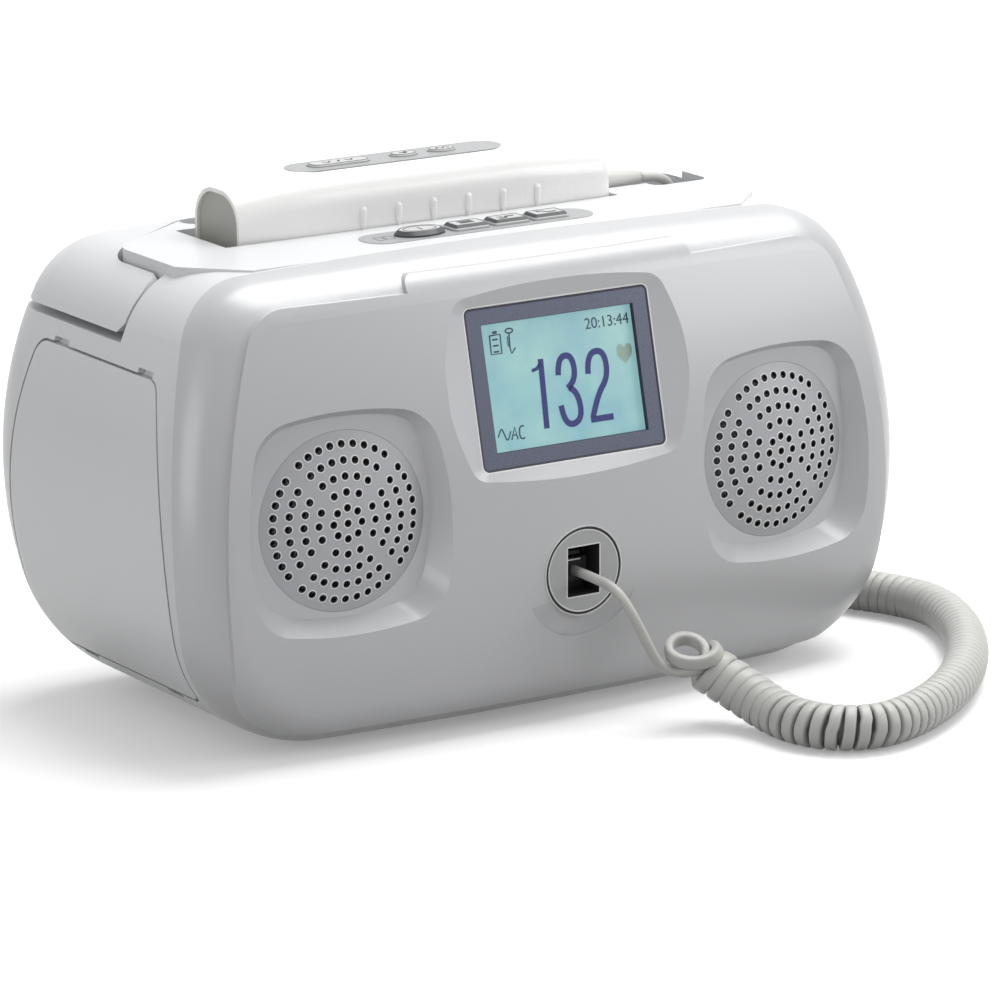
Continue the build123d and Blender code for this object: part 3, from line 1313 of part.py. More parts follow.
with BuildPart() as battery_pack:
    add(
        box_between(
            (BATTERY_OUTER_X, BATTERY_OUTER_X + BATTERY_THICK),
            (BATTERY_FRONT_Y, BATTERY_FRONT_Y + BATTERY_LENGTH),
            (BATTERY_BOTTOM_Z - BATTERY_CLEARANCE, BATTERY_BOTTOM_Z + BATTERY_HEIGHT - BATTERY_CLEARANCE),
        )
    )
    fillet(battery_pack.edges().filter_by(Axis.Z), BATTERY_CORNER)

with BuildPart() as mains_inlet:
    with BuildSketch(INLET_PLANE):
        RectangleRounded(INLET_WIDTH + 2 * INLET_FLANGE, INLET_HEIGHT + 2 * INLET_FLANGE, INLET_CORNER)
    extrude(amount=INLET_FLANGE_THICK)
    with BuildSketch(INLET_PLANE):
        RectangleRounded(INLET_WIDTH, INLET_HEIGHT, INLET_CORNER)
    extrude(amount=-INLET_DEPTH)
    with BuildSketch(INLET_PLANE.offset(INLET_FLANGE_THICK)):
        RectangleRounded(INLET_WIDTH - 2 * INLET_WALL, INLET_HEIGHT - 2 * INLET_WALL, INLET_CORNER)
    extrude(amount=-INLET_DEPTH, mode=Mode.SUBTRACT)
    with BuildSketch(INLET_PLANE.offset(-INLET_DEPTH)):
        with Locations((-INLET_PIN_PITCH, -INLET_PIN_DROP / 2), (INLET_PIN_PITCH, -INLET_PIN_DROP / 2)):
            Rectangle(INLET_PIN_WIDTH, INLET_PIN_HEIGHT)
        with Locations((0, INLET_PIN_DROP / 2)):
            Rectangle(INLET_PIN_WIDTH, INLET_PIN_HEIGHT)
    extrude(amount=INLET_PIN_LENGTH)

with BuildPart() as case_screws:
    for x, z in TOWERS:
        seat_y = TOWER_FRONT_Y + TOWER_WEB
        add(rod(depth_plane(seat_y, x, z), SCREW_HEAD_DIAMETER, SCREW_HEAD_HEIGHT))
        add(rod(depth_plane(seat_y - SCREW_LENGTH, x, z), SCREW_DIAMETER, SCREW_LENGTH))

with BuildPart() as rubber_feet:
    with BuildSketch(Plane.XY):
        with Locations([(side * FOOT_X, y) for side in SIDES for y in (FOOT_FRONT_Y, FOOT_REAR_Y)]):
            Circle(FOOT_DIAMETER / 2)
    extrude(amount=FOOT_HEIGHT + FOOT_SINK)
    chamfer(rubber_feet.edges().group_by(Axis.Z)[0], FOOT_CHAMFER)

# ---------------------------------------------------------------- one file for each piece
pieces = {
    "front_shell": front_shell,
    "rear_housing": rear_housing,
    "side_cover": side_cover,
    "carry_handle": carry_handle,
    "handle_pins": handle_pins,
    "speaker_grille_left": speaker_grille(-1),
    "speaker_grille_right": speaker_grille(1),
    "speaker_driver_left": speaker_driver(-1),
    "speaker_driver_right": speaker_driver(1),
    "lcd_bezel": lcd_bezel,
    "lcd_window": lcd_window,
    "lcd_module": lcd_module,
    "jack_plate": jack_plate,
    "jack_socket": jack_socket,
    "front_plug": front_plug,
    "deck_label": deck_label,
    "power_key": power_key,
    "deck_key_left": deck_keys[0],
    "deck_key_middle": deck_keys[1],
    "deck_key_right": deck_keys[2],
    "key_board": key_board,
    "probe_base": probe_base,
    "probe_cover": probe_cover,
    "probe_label": probe_label,
    "probe_key_long": probe_keys[0],
    "probe_key_near": probe_keys[1],
    "probe_key_far": probe_keys[2],
    "probe_board": probe_board,
    "probe_head": probe_head,
    "transducer_face": transducer_face,
    "probe_crystals": probe_crystals,
    "probe_gland": probe_gland,
    "cord_front_lead": cord_front_lead,
    "cord_coil": cord_coil,
    "cord_rear_lead": cord_rear_lead,
    "chassis": chassis,
    "main_board": main_board,
    "power_module": power_module,
    "battery_pack": battery_pack,
    "mains_inlet": mains_inlet,
    "case_screws": case_screws,
    "rubber_feet": rubber_feet,
}
for name, piece in pieces.items():
    piece.part.label = name
    export_step(piece.part, f"parts/{name}.step")
    print(name, piece.part.volume, len(piece.solids()))
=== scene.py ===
import json
from math import asin, cos, pi, radians, sin

import bpy
from mathutils import Matrix, Vector, geometry

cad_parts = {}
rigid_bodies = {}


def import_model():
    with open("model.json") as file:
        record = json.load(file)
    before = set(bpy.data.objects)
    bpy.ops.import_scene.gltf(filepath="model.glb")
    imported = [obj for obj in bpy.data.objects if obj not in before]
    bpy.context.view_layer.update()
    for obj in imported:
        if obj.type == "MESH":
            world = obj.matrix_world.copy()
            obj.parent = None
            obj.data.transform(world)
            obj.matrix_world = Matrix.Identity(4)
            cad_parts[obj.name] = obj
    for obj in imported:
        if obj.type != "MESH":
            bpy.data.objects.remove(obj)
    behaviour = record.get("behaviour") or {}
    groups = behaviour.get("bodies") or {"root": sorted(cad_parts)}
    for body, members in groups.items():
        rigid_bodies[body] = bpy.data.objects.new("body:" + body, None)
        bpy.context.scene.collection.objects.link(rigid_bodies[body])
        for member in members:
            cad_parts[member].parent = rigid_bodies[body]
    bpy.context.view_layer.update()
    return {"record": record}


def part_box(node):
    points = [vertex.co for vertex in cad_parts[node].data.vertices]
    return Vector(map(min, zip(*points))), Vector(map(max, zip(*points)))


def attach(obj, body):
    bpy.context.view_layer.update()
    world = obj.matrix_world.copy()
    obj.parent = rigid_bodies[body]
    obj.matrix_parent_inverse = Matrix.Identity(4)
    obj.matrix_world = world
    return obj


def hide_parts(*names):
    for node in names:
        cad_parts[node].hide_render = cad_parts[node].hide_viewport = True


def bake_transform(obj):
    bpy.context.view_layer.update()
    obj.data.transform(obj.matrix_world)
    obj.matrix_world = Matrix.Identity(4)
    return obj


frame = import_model()
scene = bpy.context.scene

# Lengths here are millimetres, turned to metres by mm() where they meet Blender.
MM = 0.001


def mm(x, y, z):
    return Vector((x, y, z)) * MM


# ---------------------------------------------------------------- camera
CAMERA_PLACE = mm(-963.5, -1478.5, 517.2)
CAMERA_LOOK = Vector((0.5344, 0.8066, -0.2525))
CAMERA_LENS = 203.8

camera = bpy.data.objects.new("camera", bpy.data.cameras.new("camera"))
scene.collection.objects.link(camera)
camera.location = CAMERA_PLACE
camera.rotation_mode = "QUATERNION"
camera.rotation_quaternion = CAMERA_LOOK.to_track_quat("-Z", "Y")
camera.data.lens = CAMERA_LENS
camera.data.clip_start = 0.1
camera.data.clip_end = 20
scene.camera = camera

# ---------------------------------------------------------------- cord routes
# the strand is round on its leads and a flat band in its turns
STRAND = 3.2
STRAND_SIDES = 12
BAND_WIDTH = 3.55
BAND_THICK = 2.8
BAND_SQUARENESS = 0.55
SWING_SHARE = 0.4

# the coil, and the broader and more open turns that it starts with at the front
COIL_OUTER = 14.2
COIL_PITCH = 3.85
COIL_Z = 7.5
OPEN_TURNS = 17
OPEN_BAND_WIDTH = 4.6
OPEN_OUTER = 15.8
OPEN_PITCH = 5.0
TURN_STEPS = 18
FIRST_STEP = 4

# the loose turns at the coil's front end lie nearly level, leaned a little to the front
LOOSE_TURNS = 1.9
LOOSE_ENDS = 1.15
FLAT_AFTER = 0.5
RISES_OVER = 0.95
LOOSE_RADIUS = 5.9
LOOSE_CENTRE = (22.8, -95.6, 25.0)
LOOSE_AXIS = Vector((-0.25, -0.38, 0.89))
LOOSE_SIDE = Vector((-0.83, 0.55, 0))
LOOSE_RISE = 4.6
LOOSE_DRIFT = 2.4

# the curves that join the coil to its leads, and the rear lead's last points, which one of them replaces
BRIDGE_PULL = 0.4
BRIDGE_POINTS = 9
REAR_TRIM = 10

FRONT_LEAD = ((0, -65, 47.6), (0, -76.5, 47.6), (1, -88, 46.5), (4, -94, 38), (9.5, -94.5, 27))
COIL = (
    (31, -96.5, 17.5),
    (37, -103, 12.5),
    (40, -116, 8),
    (40, -130, COIL_Z),
    (46, -143, COIL_Z),
    (59, -148.5, COIL_Z),
    (77, -143.5, COIL_Z),
    (98, -131.5, COIL_Z),
    (118, -114.5, COIL_Z),
    (136, -93.5, COIL_Z),
    (150.5, -70, COIL_Z),
    (158.5, -46, COIL_Z),
    (153, -27, COIL_Z),
    (144, -12, COIL_Z),
    (138, 8, COIL_Z),
    (135, 32, COIL_Z),
    (133, 57, COIL_Z),
    (125, 79, COIL_Z),
    (110, 93.5, COIL_Z),
    (94, 100.5, COIL_Z),
)
REAR_LEAD = (
    (85, 22, 148.5),
    (95, 22, 148.5),
    (101, 24.5, 141.5),
    (101, 28, 132.5),
    (100.5, 32, 124),
    (99.5, 43, 118),
    (98, 60, 116),
    (96, 78.5, 114.5),
    (93, 90, 100),
    (90, 93, 78),
    (84, 94, 54),
    (76, 95, 32),
    (69, 99, 16),
    (82, 105.75, COIL_Z),
    (94, 100.5, COIL_Z),
)


def smooth_line(route):
    """The points of a NURBS spline whose control points are the route's places."""
    curve = bpy.data.curves.new("route", "CURVE")
    curve.dimensions = "3D"
    curve.resolution_u = 8
    spline = curve.splines.new("NURBS")
    spline.points.add(len(route) - 1)
    for point, place in zip(spline.points, route):
        point.co = (*mm(*place), 1)
    spline.order_u = 3
    spline.use_endpoint_u = True
    holder = bpy.data.objects.new("route", curve)
    mesh = bpy.data.meshes.new_from_object(holder)
    line = [vertex.co.copy() for vertex in mesh.vertices]
    bpy.data.objects.remove(holder)
    bpy.data.meshes.remove(mesh)
    return line


def walked(line):
    """The distance along a line to each of its points."""
    distances = [0.0]
    for before, after in zip(line, line[1:]):
        distances.append(distances[-1] + (after - before).length)
    return distances


def along(line, distances, distance):
    """The place and the direction at a distance along a line."""
    index = 1
    while index < len(line) - 1 and distances[index] < distance:
        index += 1
    before = line[index - 1]
    after = line[index]
    share = (distance - distances[index - 1]) / (distances[index] - distances[index - 1])
    return before.lerp(after, share), (after - before).normalized()


def ease(share):
    """0 below 0, 1 above 1 and a smooth step between."""
    share = max(0.0, min(1.0, share))
    return share * share * (3 - 2 * share)


def coil_turns(line):
    """The helix from its loose first turns on round a line.

    Each point comes with the axis that it turns about, how flat the strand is there, and how broad.
    """
    distances = walked(line)
    side = LOOSE_SIDE
    right = -LOOSE_SIDE
    places = []
    distance = 0.0
    step = 0
    while distance < distances[-1]:
        turn = step / TURN_STEPS
        centre, direction = along(line, distances, distance)
        wound = ease(turn - LOOSE_ENDS)
        opened = 1 - ease(turn / OPEN_TURNS)
        radius = (COIL_OUTER + opened * (OPEN_OUTER - COIL_OUTER) - BAND_THICK) / 2
        loose = mm(*LOOSE_CENTRE) - LOOSE_AXIS * LOOSE_RISE * MM * (1 - ease(turn / RISES_OVER))
        loose += right * LOOSE_DRIFT * MM * ease((turn - 1) * 2)
        axis = (-LOOSE_AXIS).lerp(direction, wound).normalized()
        side = (side - axis * side.dot(axis)).normalized()
        up = axis.cross(side)
        left_over = (distances[-1] - distance) / (COIL_PITCH * MM)
        reach = (LOOSE_RADIUS + wound * (radius - LOOSE_RADIUS)) * MM
        angle = 2 * pi * turn
        place = loose.lerp(centre, wound) + reach * (cos(angle) * side - sin(angle) * up)
        flat = ease(turn / FLAT_AFTER) * ease(left_over)
        band = BAND_WIDTH + opened * (OPEN_BAND_WIDTH - BAND_WIDTH)
        places.append((place, axis, flat, band))
        if turn > LOOSE_TURNS:
            distance += (COIL_PITCH + opened * (OPEN_PITCH - COIL_PITCH)) / TURN_STEPS * MM
        step += 1
    return places[FIRST_STEP:]


def bridged(before, after):
    """Two lines joined by a curve that leaves the one and meets the other in their own directions."""
    start = before[-1]
    end = after[0]
    leave = (start - before[-2]).normalized()
    arrive = (after[1] - end).normalized()
    pull = (end - start).length * BRIDGE_PULL
    curve = geometry.interpolate_bezier(start, start + leave * pull, end - arrive * pull, end, BRIDGE_POINTS)
    return before + curve[1:-1] + after


def squared(share, flat):
    """A sine or cosine pushed outward, so that a circle's sides grow flatter."""
    return abs(share) ** (1 - BAND_SQUARENESS * flat) * (1 if share > 0 else -1)


def mesh_piece(name, corners, faces):
    """A smooth-shaded object in the scene from its corners and faces."""
    mesh = bpy.data.meshes.new(name)
    mesh.from_pydata(corners, [], faces)
    mesh.polygons.foreach_set("use_smooth", [True] * len(faces))
    piece = bpy.data.objects.new(name, mesh)
    scene.collection.objects.link(piece)
    return piece


def strand_mesh(name, path, turning):
    """A closed tube along a path: turning gives an axis, flatness and breadth by the point's number.

    The band's broad side swings over to the axis by a share of the way at each point.
    """
    side = (path[1] - path[0]).orthogonal().normalized()
    corners = []
    for index, place in enumerate(path):
        before = path[max(index - 1, 0)]
        after = path[min(index + 1, len(path) - 1)]
        direction = (after - before).normalized()
        side = (side - direction * side.dot(direction)).normalized()
        axis, flat, band = turning.get(index, (side, 0.0, STRAND))
        axis = (axis - direction * axis.dot(direction)).normalized()
        if axis.dot(side) < 0:
            axis = -axis
        side = side.lerp(axis, SWING_SHARE).normalized()
        up = direction.cross(side)
        half_width = (STRAND + flat * (band - STRAND)) / 2 * MM
        half_thick = (STRAND + flat * (BAND_THICK - STRAND)) / 2 * MM
        for corner in range(STRAND_SIDES):
            angle = 2 * pi * (corner + 0.5) / STRAND_SIDES
            across = squared(cos(angle), flat) * half_width
            outward = squared(sin(angle), flat) * half_thick
            corners.append(place + across * side + outward * up)
    faces = [tuple(reversed(range(STRAND_SIDES)))]
    for ring in range(len(path) - 1):
        for corner in range(STRAND_SIDES):
            after = (corner + 1) % STRAND_SIDES
            low = ring * STRAND_SIDES
            high = low + STRAND_SIDES
            faces.append((low + corner, low + after, high + after, high + corner))
    last = (len(path) - 1) * STRAND_SIDES
    faces.append(tuple(last + corner for corner in range(STRAND_SIDES)))
    return mesh_piece(name, corners, faces)


def whole_cord():
    """One strand from the probe's gland down behind the casing, round the coil and up into the front jack."""
    coil = coil_turns(smooth_line(COIL))[::-1]
    rear = bridged(smooth_line(REAR_LEAD)[:-REAR_TRIM], [place for place, *_ in coil])
    path = bridged(rear, smooth_line(FRONT_LEAD)[::-1])
    first = len(rear) - len(coil)
    turning = {first + n: (axis, flat, band) for n, (place, axis, flat, band) in enumerate(coil)}
    length = walked(path)[-1]
    print("cord length", round(length, 3))
    cord = strand_mesh("probe_cord", path, turning)
    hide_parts("cord_front_lead", "cord_coil", "cord_rear_lead")
    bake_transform(cord)
    return cord


# ---------------------------------------------------------------- shader fields
class Field:
    """A shader value that Python arithmetic works on, each operator adding its Math node."""

    def __init__(self, paint, socket):
        self.paint = paint
        self.socket = socket

    def _math(self, operation, *values):
        node = self.paint.node("ShaderNodeMath", {"operation": operation}, dict(enumerate(values)))
        return Field(self.paint, node.outputs[0])

    def __add__(self, other):
        return self._math("ADD", self, other)

    def __sub__(self, other):
        return self._math("SUBTRACT", self, other)

    def __rsub__(self, other):
        return self._math("SUBTRACT", other, self)

    def __mul__(self, other):
        return self._math("MULTIPLY", self, other)

    def fraction(self):
        return self._math("FRACT", self)

    __radd__ = __add__
    __rmul__ = __mul__


class Paint:
    """A material with its node tree and the few nodes that every finish here is made of."""

    def __init__(self, name):
        self.material = bpy.data.materials.new(name)
        self.material.use_nodes = True
        self.tree = self.material.node_tree
        self.shader = self.tree.nodes["Principled BSDF"]
        self.place = self.node("ShaderNodeTexCoord").outputs["Object"]

    def node(self, kind, settings=None, sockets=None):
        node = self.tree.nodes.new(kind)
        for name, value in (settings or {}).items():
            if name == "stops":
                self._stops(node.color_ramp, value)
            else:
                setattr(node, name, value)
        for name, value in (sockets or {}).items():
            self.feed(node.inputs[name], value)
        return node

    def _stops(self, ramp, stops):
        while len(ramp.elements) < len(stops):
            ramp.elements.new(1.0)
        for element, (position, colour) in zip(ramp.elements, stops):
            element.position = position
            element.color = (*colour, 1)

    def feed(self, socket, value):
        if isinstance(value, Field):
            value = value.socket
        if isinstance(value, bpy.types.NodeSocket):
            self.tree.links.new(value, socket)
        elif isinstance(value, tuple) and len(value) == 3 and socket.type == "RGBA":
            socket.default_value = (*value, 1)
        else:
            socket.default_value = value

    def set(self, **values):
        """Feeds the shader's sockets, each named in lower case with underscores."""
        for name, value in values.items():
            self.feed(self.shader.inputs[name.replace("_", " ").title().replace("Ior", "IOR")], value)
        return self

    def noise(self, scale, detail=2.0, stretch=None):
        """A grain from 0 to 1 about 0.5, scale grains to the metre, stretched along an axis where asked."""
        place = self.place
        if stretch:
            place = self.node("ShaderNodeMapping", {}, {"Vector": place, "Scale": stretch}).outputs[0]
        settings = {"noise_dimensions": "3D"}
        node = self.node("ShaderNodeTexNoise", settings, {"Vector": place, "Scale": scale, "Detail": detail})
        return Field(self, node.outputs[0])

    def axis(self, index):
        """One coordinate of the place on the object."""
        node = self.node("ShaderNodeSeparateXYZ", {}, {"Vector": self.place})
        return Field(self, node.outputs[index])

    def mix(self, factor, low, high):
        """A colour between two others."""
        node = self.node("ShaderNodeMix", {"data_type": "RGBA"})
        self.feed(node.inputs["Factor"], factor)
        self.feed(node.inputs[6], low)
        self.feed(node.inputs[7], high)
        return node.outputs[2]

    def bump(self, height, distance):
        """Relief of a height field, distance metres deep."""
        node = self.node("ShaderNodeBump", {}, {"Height": height, "Distance": distance, "Strength": 1.0})
        self.feed(self.shader.inputs["Normal"], node.outputs[0])
        return self


def tint(colour, factor):
    """A colour made darker or lighter."""
    return tuple(channel * factor for channel in colour)


# ---------------------------------------------------------------- finishes
PEARL = (0.51, 0.515, 0.525)
HOUSING_GREY = (0.68, 0.69, 0.70)
PROBE_WHITE = (0.83, 0.83, 0.82)
KEY_GREY = (0.53, 0.53, 0.53)
LABEL_GREY = (0.35, 0.36, 0.365)
RIM_GREY = (0.040, 0.045, 0.050)
SLATE = (0.085, 0.100, 0.165)
SCREEN_BLUE = (0.21, 0.42, 0.50)
SCREEN_TEAL = (0.33, 0.56, 0.54)
INK = (0.010, 0.014, 0.18)
CORD_GREY = (0.50, 0.50, 0.48)


def moulded(name, colour, roughness, grain=2600, depth=0.00002, coat=0.0, metallic=0.0):
    """Moulded plastic: a fine spark-eroded grain and a faint unevenness of colour."""
    paint = Paint(name)
    fine = paint.noise(grain, 3.0)
    broad = paint.noise(18, 2.0)
    paint.set(base_color=paint.mix(broad, tint(colour, 0.975), tint(colour, 1.02)))
    paint.set(roughness=roughness + 0.10 * (fine - 0.5) + 0.06 * (broad - 0.5))
    paint.set(metallic=metallic, coat_weight=coat, coat_roughness=0.12)
    paint.bump(fine, depth)
    return paint.material


def pearl_paint():
    """The front shell's metallic paint: fine flakes under a clear coat."""
    paint = Paint("front_pearl")
    flake = paint.noise(5200, 1.0)
    broad = paint.noise(14, 2.0)
    colour = paint.mix(flake, tint(PEARL, 0.94), tint(PEARL, 1.05))
    paint.set(base_color=paint.mix(broad, colour, PEARL))
    paint.set(roughness=0.36 + 0.10 * (flake - 0.5))
    paint.set(metallic=0.12, coat_weight=0.25, coat_roughness=0.16)
    paint.bump(flake, 0.000008)
    return paint.material


def backlit_screen():
    """A backlit liquid crystal: teal, clouded with blue."""
    paint = Paint("screen_backlight")
    cloud = paint.noise(75, 4.0)
    rows = (paint.axis(2) * 2600.0).fraction()
    glow = paint.mix((cloud - 0.3) * 2.5, SCREEN_BLUE, SCREEN_TEAL)
    paint.set(base_color=tint(SCREEN_TEAL, 0.35), emission_color=glow, emission_strength=0.80)
    paint.set(roughness=0.30 + 0.05 * rows)
    return paint.material


def ink(name, colour, roughness=0.5):
    """Printed ink or a dark liquid-crystal segment, a little uneven at its edges."""
    paint = Paint(name)
    speck = paint.noise(2200, 2.0)
    paint.set(base_color=paint.mix(speck, tint(colour, 0.85), tint(colour, 1.2)))
    paint.set(roughness=roughness + 0.1 * (speck - 0.5))
    return paint.material


def clear_window():
    """The display's clear cover."""
    paint = Paint("window_clear")
    smear = paint.noise(40, 3.0)
    paint.set(base_color=(0.30, 0.36, 0.38), alpha=0.02 + 0.02 * smear)
    paint.set(roughness=0.06 + 0.05 * smear)
    return paint.material


def cord_rubber():
    """Soft grey jacket with a faint bloom."""
    paint = Paint("cord_jacket")
    bloom = paint.noise(160, 3.0)
    grain = paint.noise(4200, 2.0)
    paint.set(base_color=paint.mix(bloom, tint(CORD_GREY, 0.94), tint(CORD_GREY, 1.06)))
    paint.set(roughness=0.42 + 0.12 * (bloom - 0.5) + 0.08 * (grain - 0.5))
    paint.bump(grain, 0.000015)
    return paint.material


def brushed(name, colour, roughness=0.3, stretch=(1, 60, 60)):
    """Brushed metal with its lines along one axis."""
    paint = Paint(name)
    line = paint.noise(60, 3.0, stretch)
    paint.set(base_color=paint.mix(line, tint(colour, 0.85), tint(colour, 1.1)))
    paint.set(metallic=1.0, roughness=roughness + 0.15 * (line - 0.5))
    paint.bump(line, 0.00001)
    return paint.material


finishes = {
    "front_plastic": pearl_paint(),
    "housing_plastic": moulded("housing_grey", HOUSING_GREY, 0.38, coat=0.12),
    "pin_steel": brushed("steel", (0.60, 0.60, 0.61)),
    "grille_plastic": moulded("grille_grey", (0.46, 0.47, 0.49), 0.42, metallic=0.1),
    "driver_black": moulded("cone_black", (0.012, 0.012, 0.013), 0.75, 900, 0.00008),
    "bezel_plastic": moulded("bezel_slate", SLATE, 0.28, coat=0.3),
    "window": clear_window(),
    "lcd": backlit_screen(),
    "jack_plastic": moulded("jack_grey", (0.45, 0.46, 0.46), 0.40),
    "socket_plastic": moulded("socket_black", (0.008, 0.008, 0.009), 0.6),
    "plug_plastic": moulded("plug_dark", (0.006, 0.006, 0.007), 0.7),
    "label_film": moulded("label_grey", LABEL_GREY, 0.34, 1800, 0.00001),
    "key_plastic": moulded("key_grey", KEY_GREY, 0.42),
    "board": moulded("board_green", (0.03, 0.16, 0.07), 0.4, 500, 0.00005),
    "probe_plastic": moulded("probe_white", PROBE_WHITE, 0.26, 2200, 0.000012, coat=0.3),
    "transducer_rubber": moulded("face_warm_grey", (0.38, 0.375, 0.35), 0.5, 1500, 0.00003),
    "crystal": moulded("crystal_cream", (0.60, 0.54, 0.42), 0.4),
    "cord_rubber": cord_rubber(),
    "chassis_steel": brushed("sheet_steel", (0.52, 0.53, 0.54)),
    "module_plastic": moulded("module_black", (0.03, 0.03, 0.033), 0.5),
    "inlet_plastic": moulded("inlet_black", (0.02, 0.02, 0.02), 0.45),
    "foot_rubber": moulded("foot_black", (0.03, 0.03, 0.03), 0.8, 700, 0.0001),
}


def dress(piece, finish, body=None):
    """Gives a piece its finish, and its body where it is a new one."""
    piece.data.materials.clear()
    piece.data.materials.append(finish)
    if body:
        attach(piece, body)
    return piece


for entry in frame["record"]["subparts"]:
    dress(bpy.data.objects[entry["node"]], finishes[entry["material_slot"]])
dress(whole_cord(), finishes["cord_rubber"])

# ---------------------------------------------------------------- flat artwork and thin bands
def settled(piece, name, place=Matrix.Identity(4)):
    """Puts a finished piece's place into its mesh, so that its object lies at the origin."""
    piece.name = name
    piece.data.name = name
    piece.data.transform(place @ piece.matrix_basis)
    piece.matrix_basis = Matrix.Identity(4)
    return piece


ART_THICK = 0.03
CAPITAL_SHARE = 0.7


def facing(centre, tilt):
    """The placing of artwork drawn in millimetres on a face that looks to the front, leaned back by tilt."""
    turn = Matrix.Rotation(radians(90 - tilt), 4, "X")
    return Matrix.Translation(centre) @ turn @ Matrix.Scale(MM, 4)


def level(x, y, z):
    """The placing of artwork drawn in millimetres on a level face."""
    return Matrix.Translation((x, y, z)) @ Matrix.Scale(MM, 4)


def lettering(text, height, x, y, place, squeeze, name):
    """Figures or letters as a thin mesh, their lower left corner at x and y."""
    bpy.ops.object.select_all(action="DESELECT")
    bpy.ops.object.text_add()
    letters = bpy.context.object
    letters.data.body = text
    letters.data.size = height / CAPITAL_SHARE
    letters.data.extrude = ART_THICK
    letters.data.resolution_u = 4
    bpy.ops.object.convert(target="MESH")
    letters = bpy.context.object
    spot = Matrix.Translation((x, y, 0)) @ Matrix.Diagonal((squeeze, 1, 1, 1))
    return settled(letters, name, place @ spot)


def stroke(route, line, place, body, finish, name):
    """A printed line of one width along a route of places in the face."""
    spots = [Vector(spot) for spot in route]
    corners = []
    for index, spot in enumerate(spots):
        run = spots[min(index + 1, len(spots) - 1)] - spots[max(index - 1, 0)]
        across = Vector((-run.y, run.x)).normalized() * line / 2
        for side, height in ((1, -1), (-1, -1), (-1, 1), (1, 1)):
            corners.append(place @ Vector((*(spot + side * across), height * ART_THICK)))
    faces = [(3, 2, 1, 0), tuple(len(corners) - 4 + n for n in range(4))]
    for ring in range(0, len(corners) - 4, 4):
        for n in range(4):
            after = (n + 1) % 4
            faces.append((ring + n, ring + after, ring + 4 + after, ring + 4 + n))
    piece = mesh_piece(name, corners, faces)
    piece.data.polygons.foreach_set("use_smooth", [False] * len(faces))
    return dress(piece, finish, body)


def patch(outline, place, body, finish, name):
    """A printed area inside an outline."""
    corners = [place @ Vector((x, y, height)) for height in (0, ART_THICK) for x, y in outline]
    count = len(outline)
    faces = [tuple(reversed(range(count))), tuple(range(count, 2 * count))]
    for n in range(count):
        after = (n + 1) % count
        faces.append((n, after, count + after, count + n))
    piece = mesh_piece(name, corners, faces)
    piece.data.polygons.foreach_set("use_smooth", [False] * len(faces))
    return dress(piece, finish, body)


def rounded(route):
    """The smooth flat line whose control points are the route's places."""
    return [point.xy / MM for point in smooth_line([(*spot, 0) for spot in route])]


def hoop(outline, levels, places, body, finish, name):
    """A closed band round an outline at each place: a level is how far it stands out and how high."""
    corners = []
    faces = []
    for place in places if isinstance(places, list) else [places]:
        first = len(corners)
        for grow, height in levels:
            corners += [place @ Vector((x, y, height)) for x, y in outline(grow)]
        count = (len(corners) - first) // len(levels)
        for level in range(len(levels)):
            low = first + level * count
            high = first + (level + 1) % len(levels) * count
            for n in range(count):
                after = (n + 1) % count
                faces.append((low + n, low + after, high + after, high + n))
    piece = mesh_piece(name, corners, faces)
    bpy.ops.object.select_all(action="DESELECT")
    piece.select_set(True)
    bpy.context.view_layer.objects.active = piece
    bpy.ops.object.shade_smooth_by_angle(angle=radians(35))
    return dress(piece, finish, body)


def oval(length, width, sides=48):
    """An oval outline that can be grown."""
    turns = [2 * pi * n / sides for n in range(sides)]
    return lambda grow: [(cos(turn) * (length / 2 + grow), sin(turn) * (width / 2 + grow)) for turn in turns]


def pad(length, width, corner, steps=6):
    """A rectangle with round corners that can be grown."""

    def outline(grow):
        reach = max(corner + grow, 0.01)
        places = []
        for quarter, (x, y) in enumerate(((1, 1), (-1, 1), (-1, -1), (1, -1))):
            for step in range(steps + 1):
                angle = pi / 2 * (quarter + step / steps)
                along_x = x * (length / 2 - corner) + reach * cos(angle)
                along_y = y * (width / 2 - corner) + reach * sin(angle)
                places.append((along_x, along_y))
        return places

    return outline


# ---------------------------------------------------------------- display
LCD_TILT = 13.6
SCREEN_WIDTH = 57.0
SCREEN_HEIGHT = 40.2
BEZEL_WIDTH = 68.4
BEZEL_HEIGHT = 50.6
BEZEL_CORNER = 2.0
BEZEL_FACE = 2.27
SCREEN_SINK = 0.25
DIGIT_LINE = 2.0

# what the display shows: a name, a line's breadth, whether the route is a curve's control points, the route
THREE_TOP = ((-1.1, 1.0), (-0.6, 6.6), (4.9, 6.9), (5.2, -1.6), (1.7, -3.4))
THREE_LOW = ((2.4, -3.4), (5.3, -4.6), (5.9, -14.0), (-1.0, -15.2), (-1.5, -8.4))
TWO = ((10.0, 0.0), (10.4, 6.4), (16.8, 7.0), (17.4, -1.6), (12.4, -7.0), (9.8, -13.6))
READING = (
    ("digit_one", DIGIT_LINE, False, ((-6.9, 6.9), (-7.8, -14.8))),
    ("digit_one_flag", 1.1, False, ((-10.6, 3.6), (-8.6, 4.1), (-7.2, 5.6))),
    ("digit_three_top", DIGIT_LINE, True, THREE_TOP),
    ("digit_three_low", DIGIT_LINE, True, THREE_LOW),
    ("digit_two", DIGIT_LINE, True, TWO),
    ("digit_two_base", DIGIT_LINE, False, ((8.9, -14.3), (17.4, -14.3))),
)
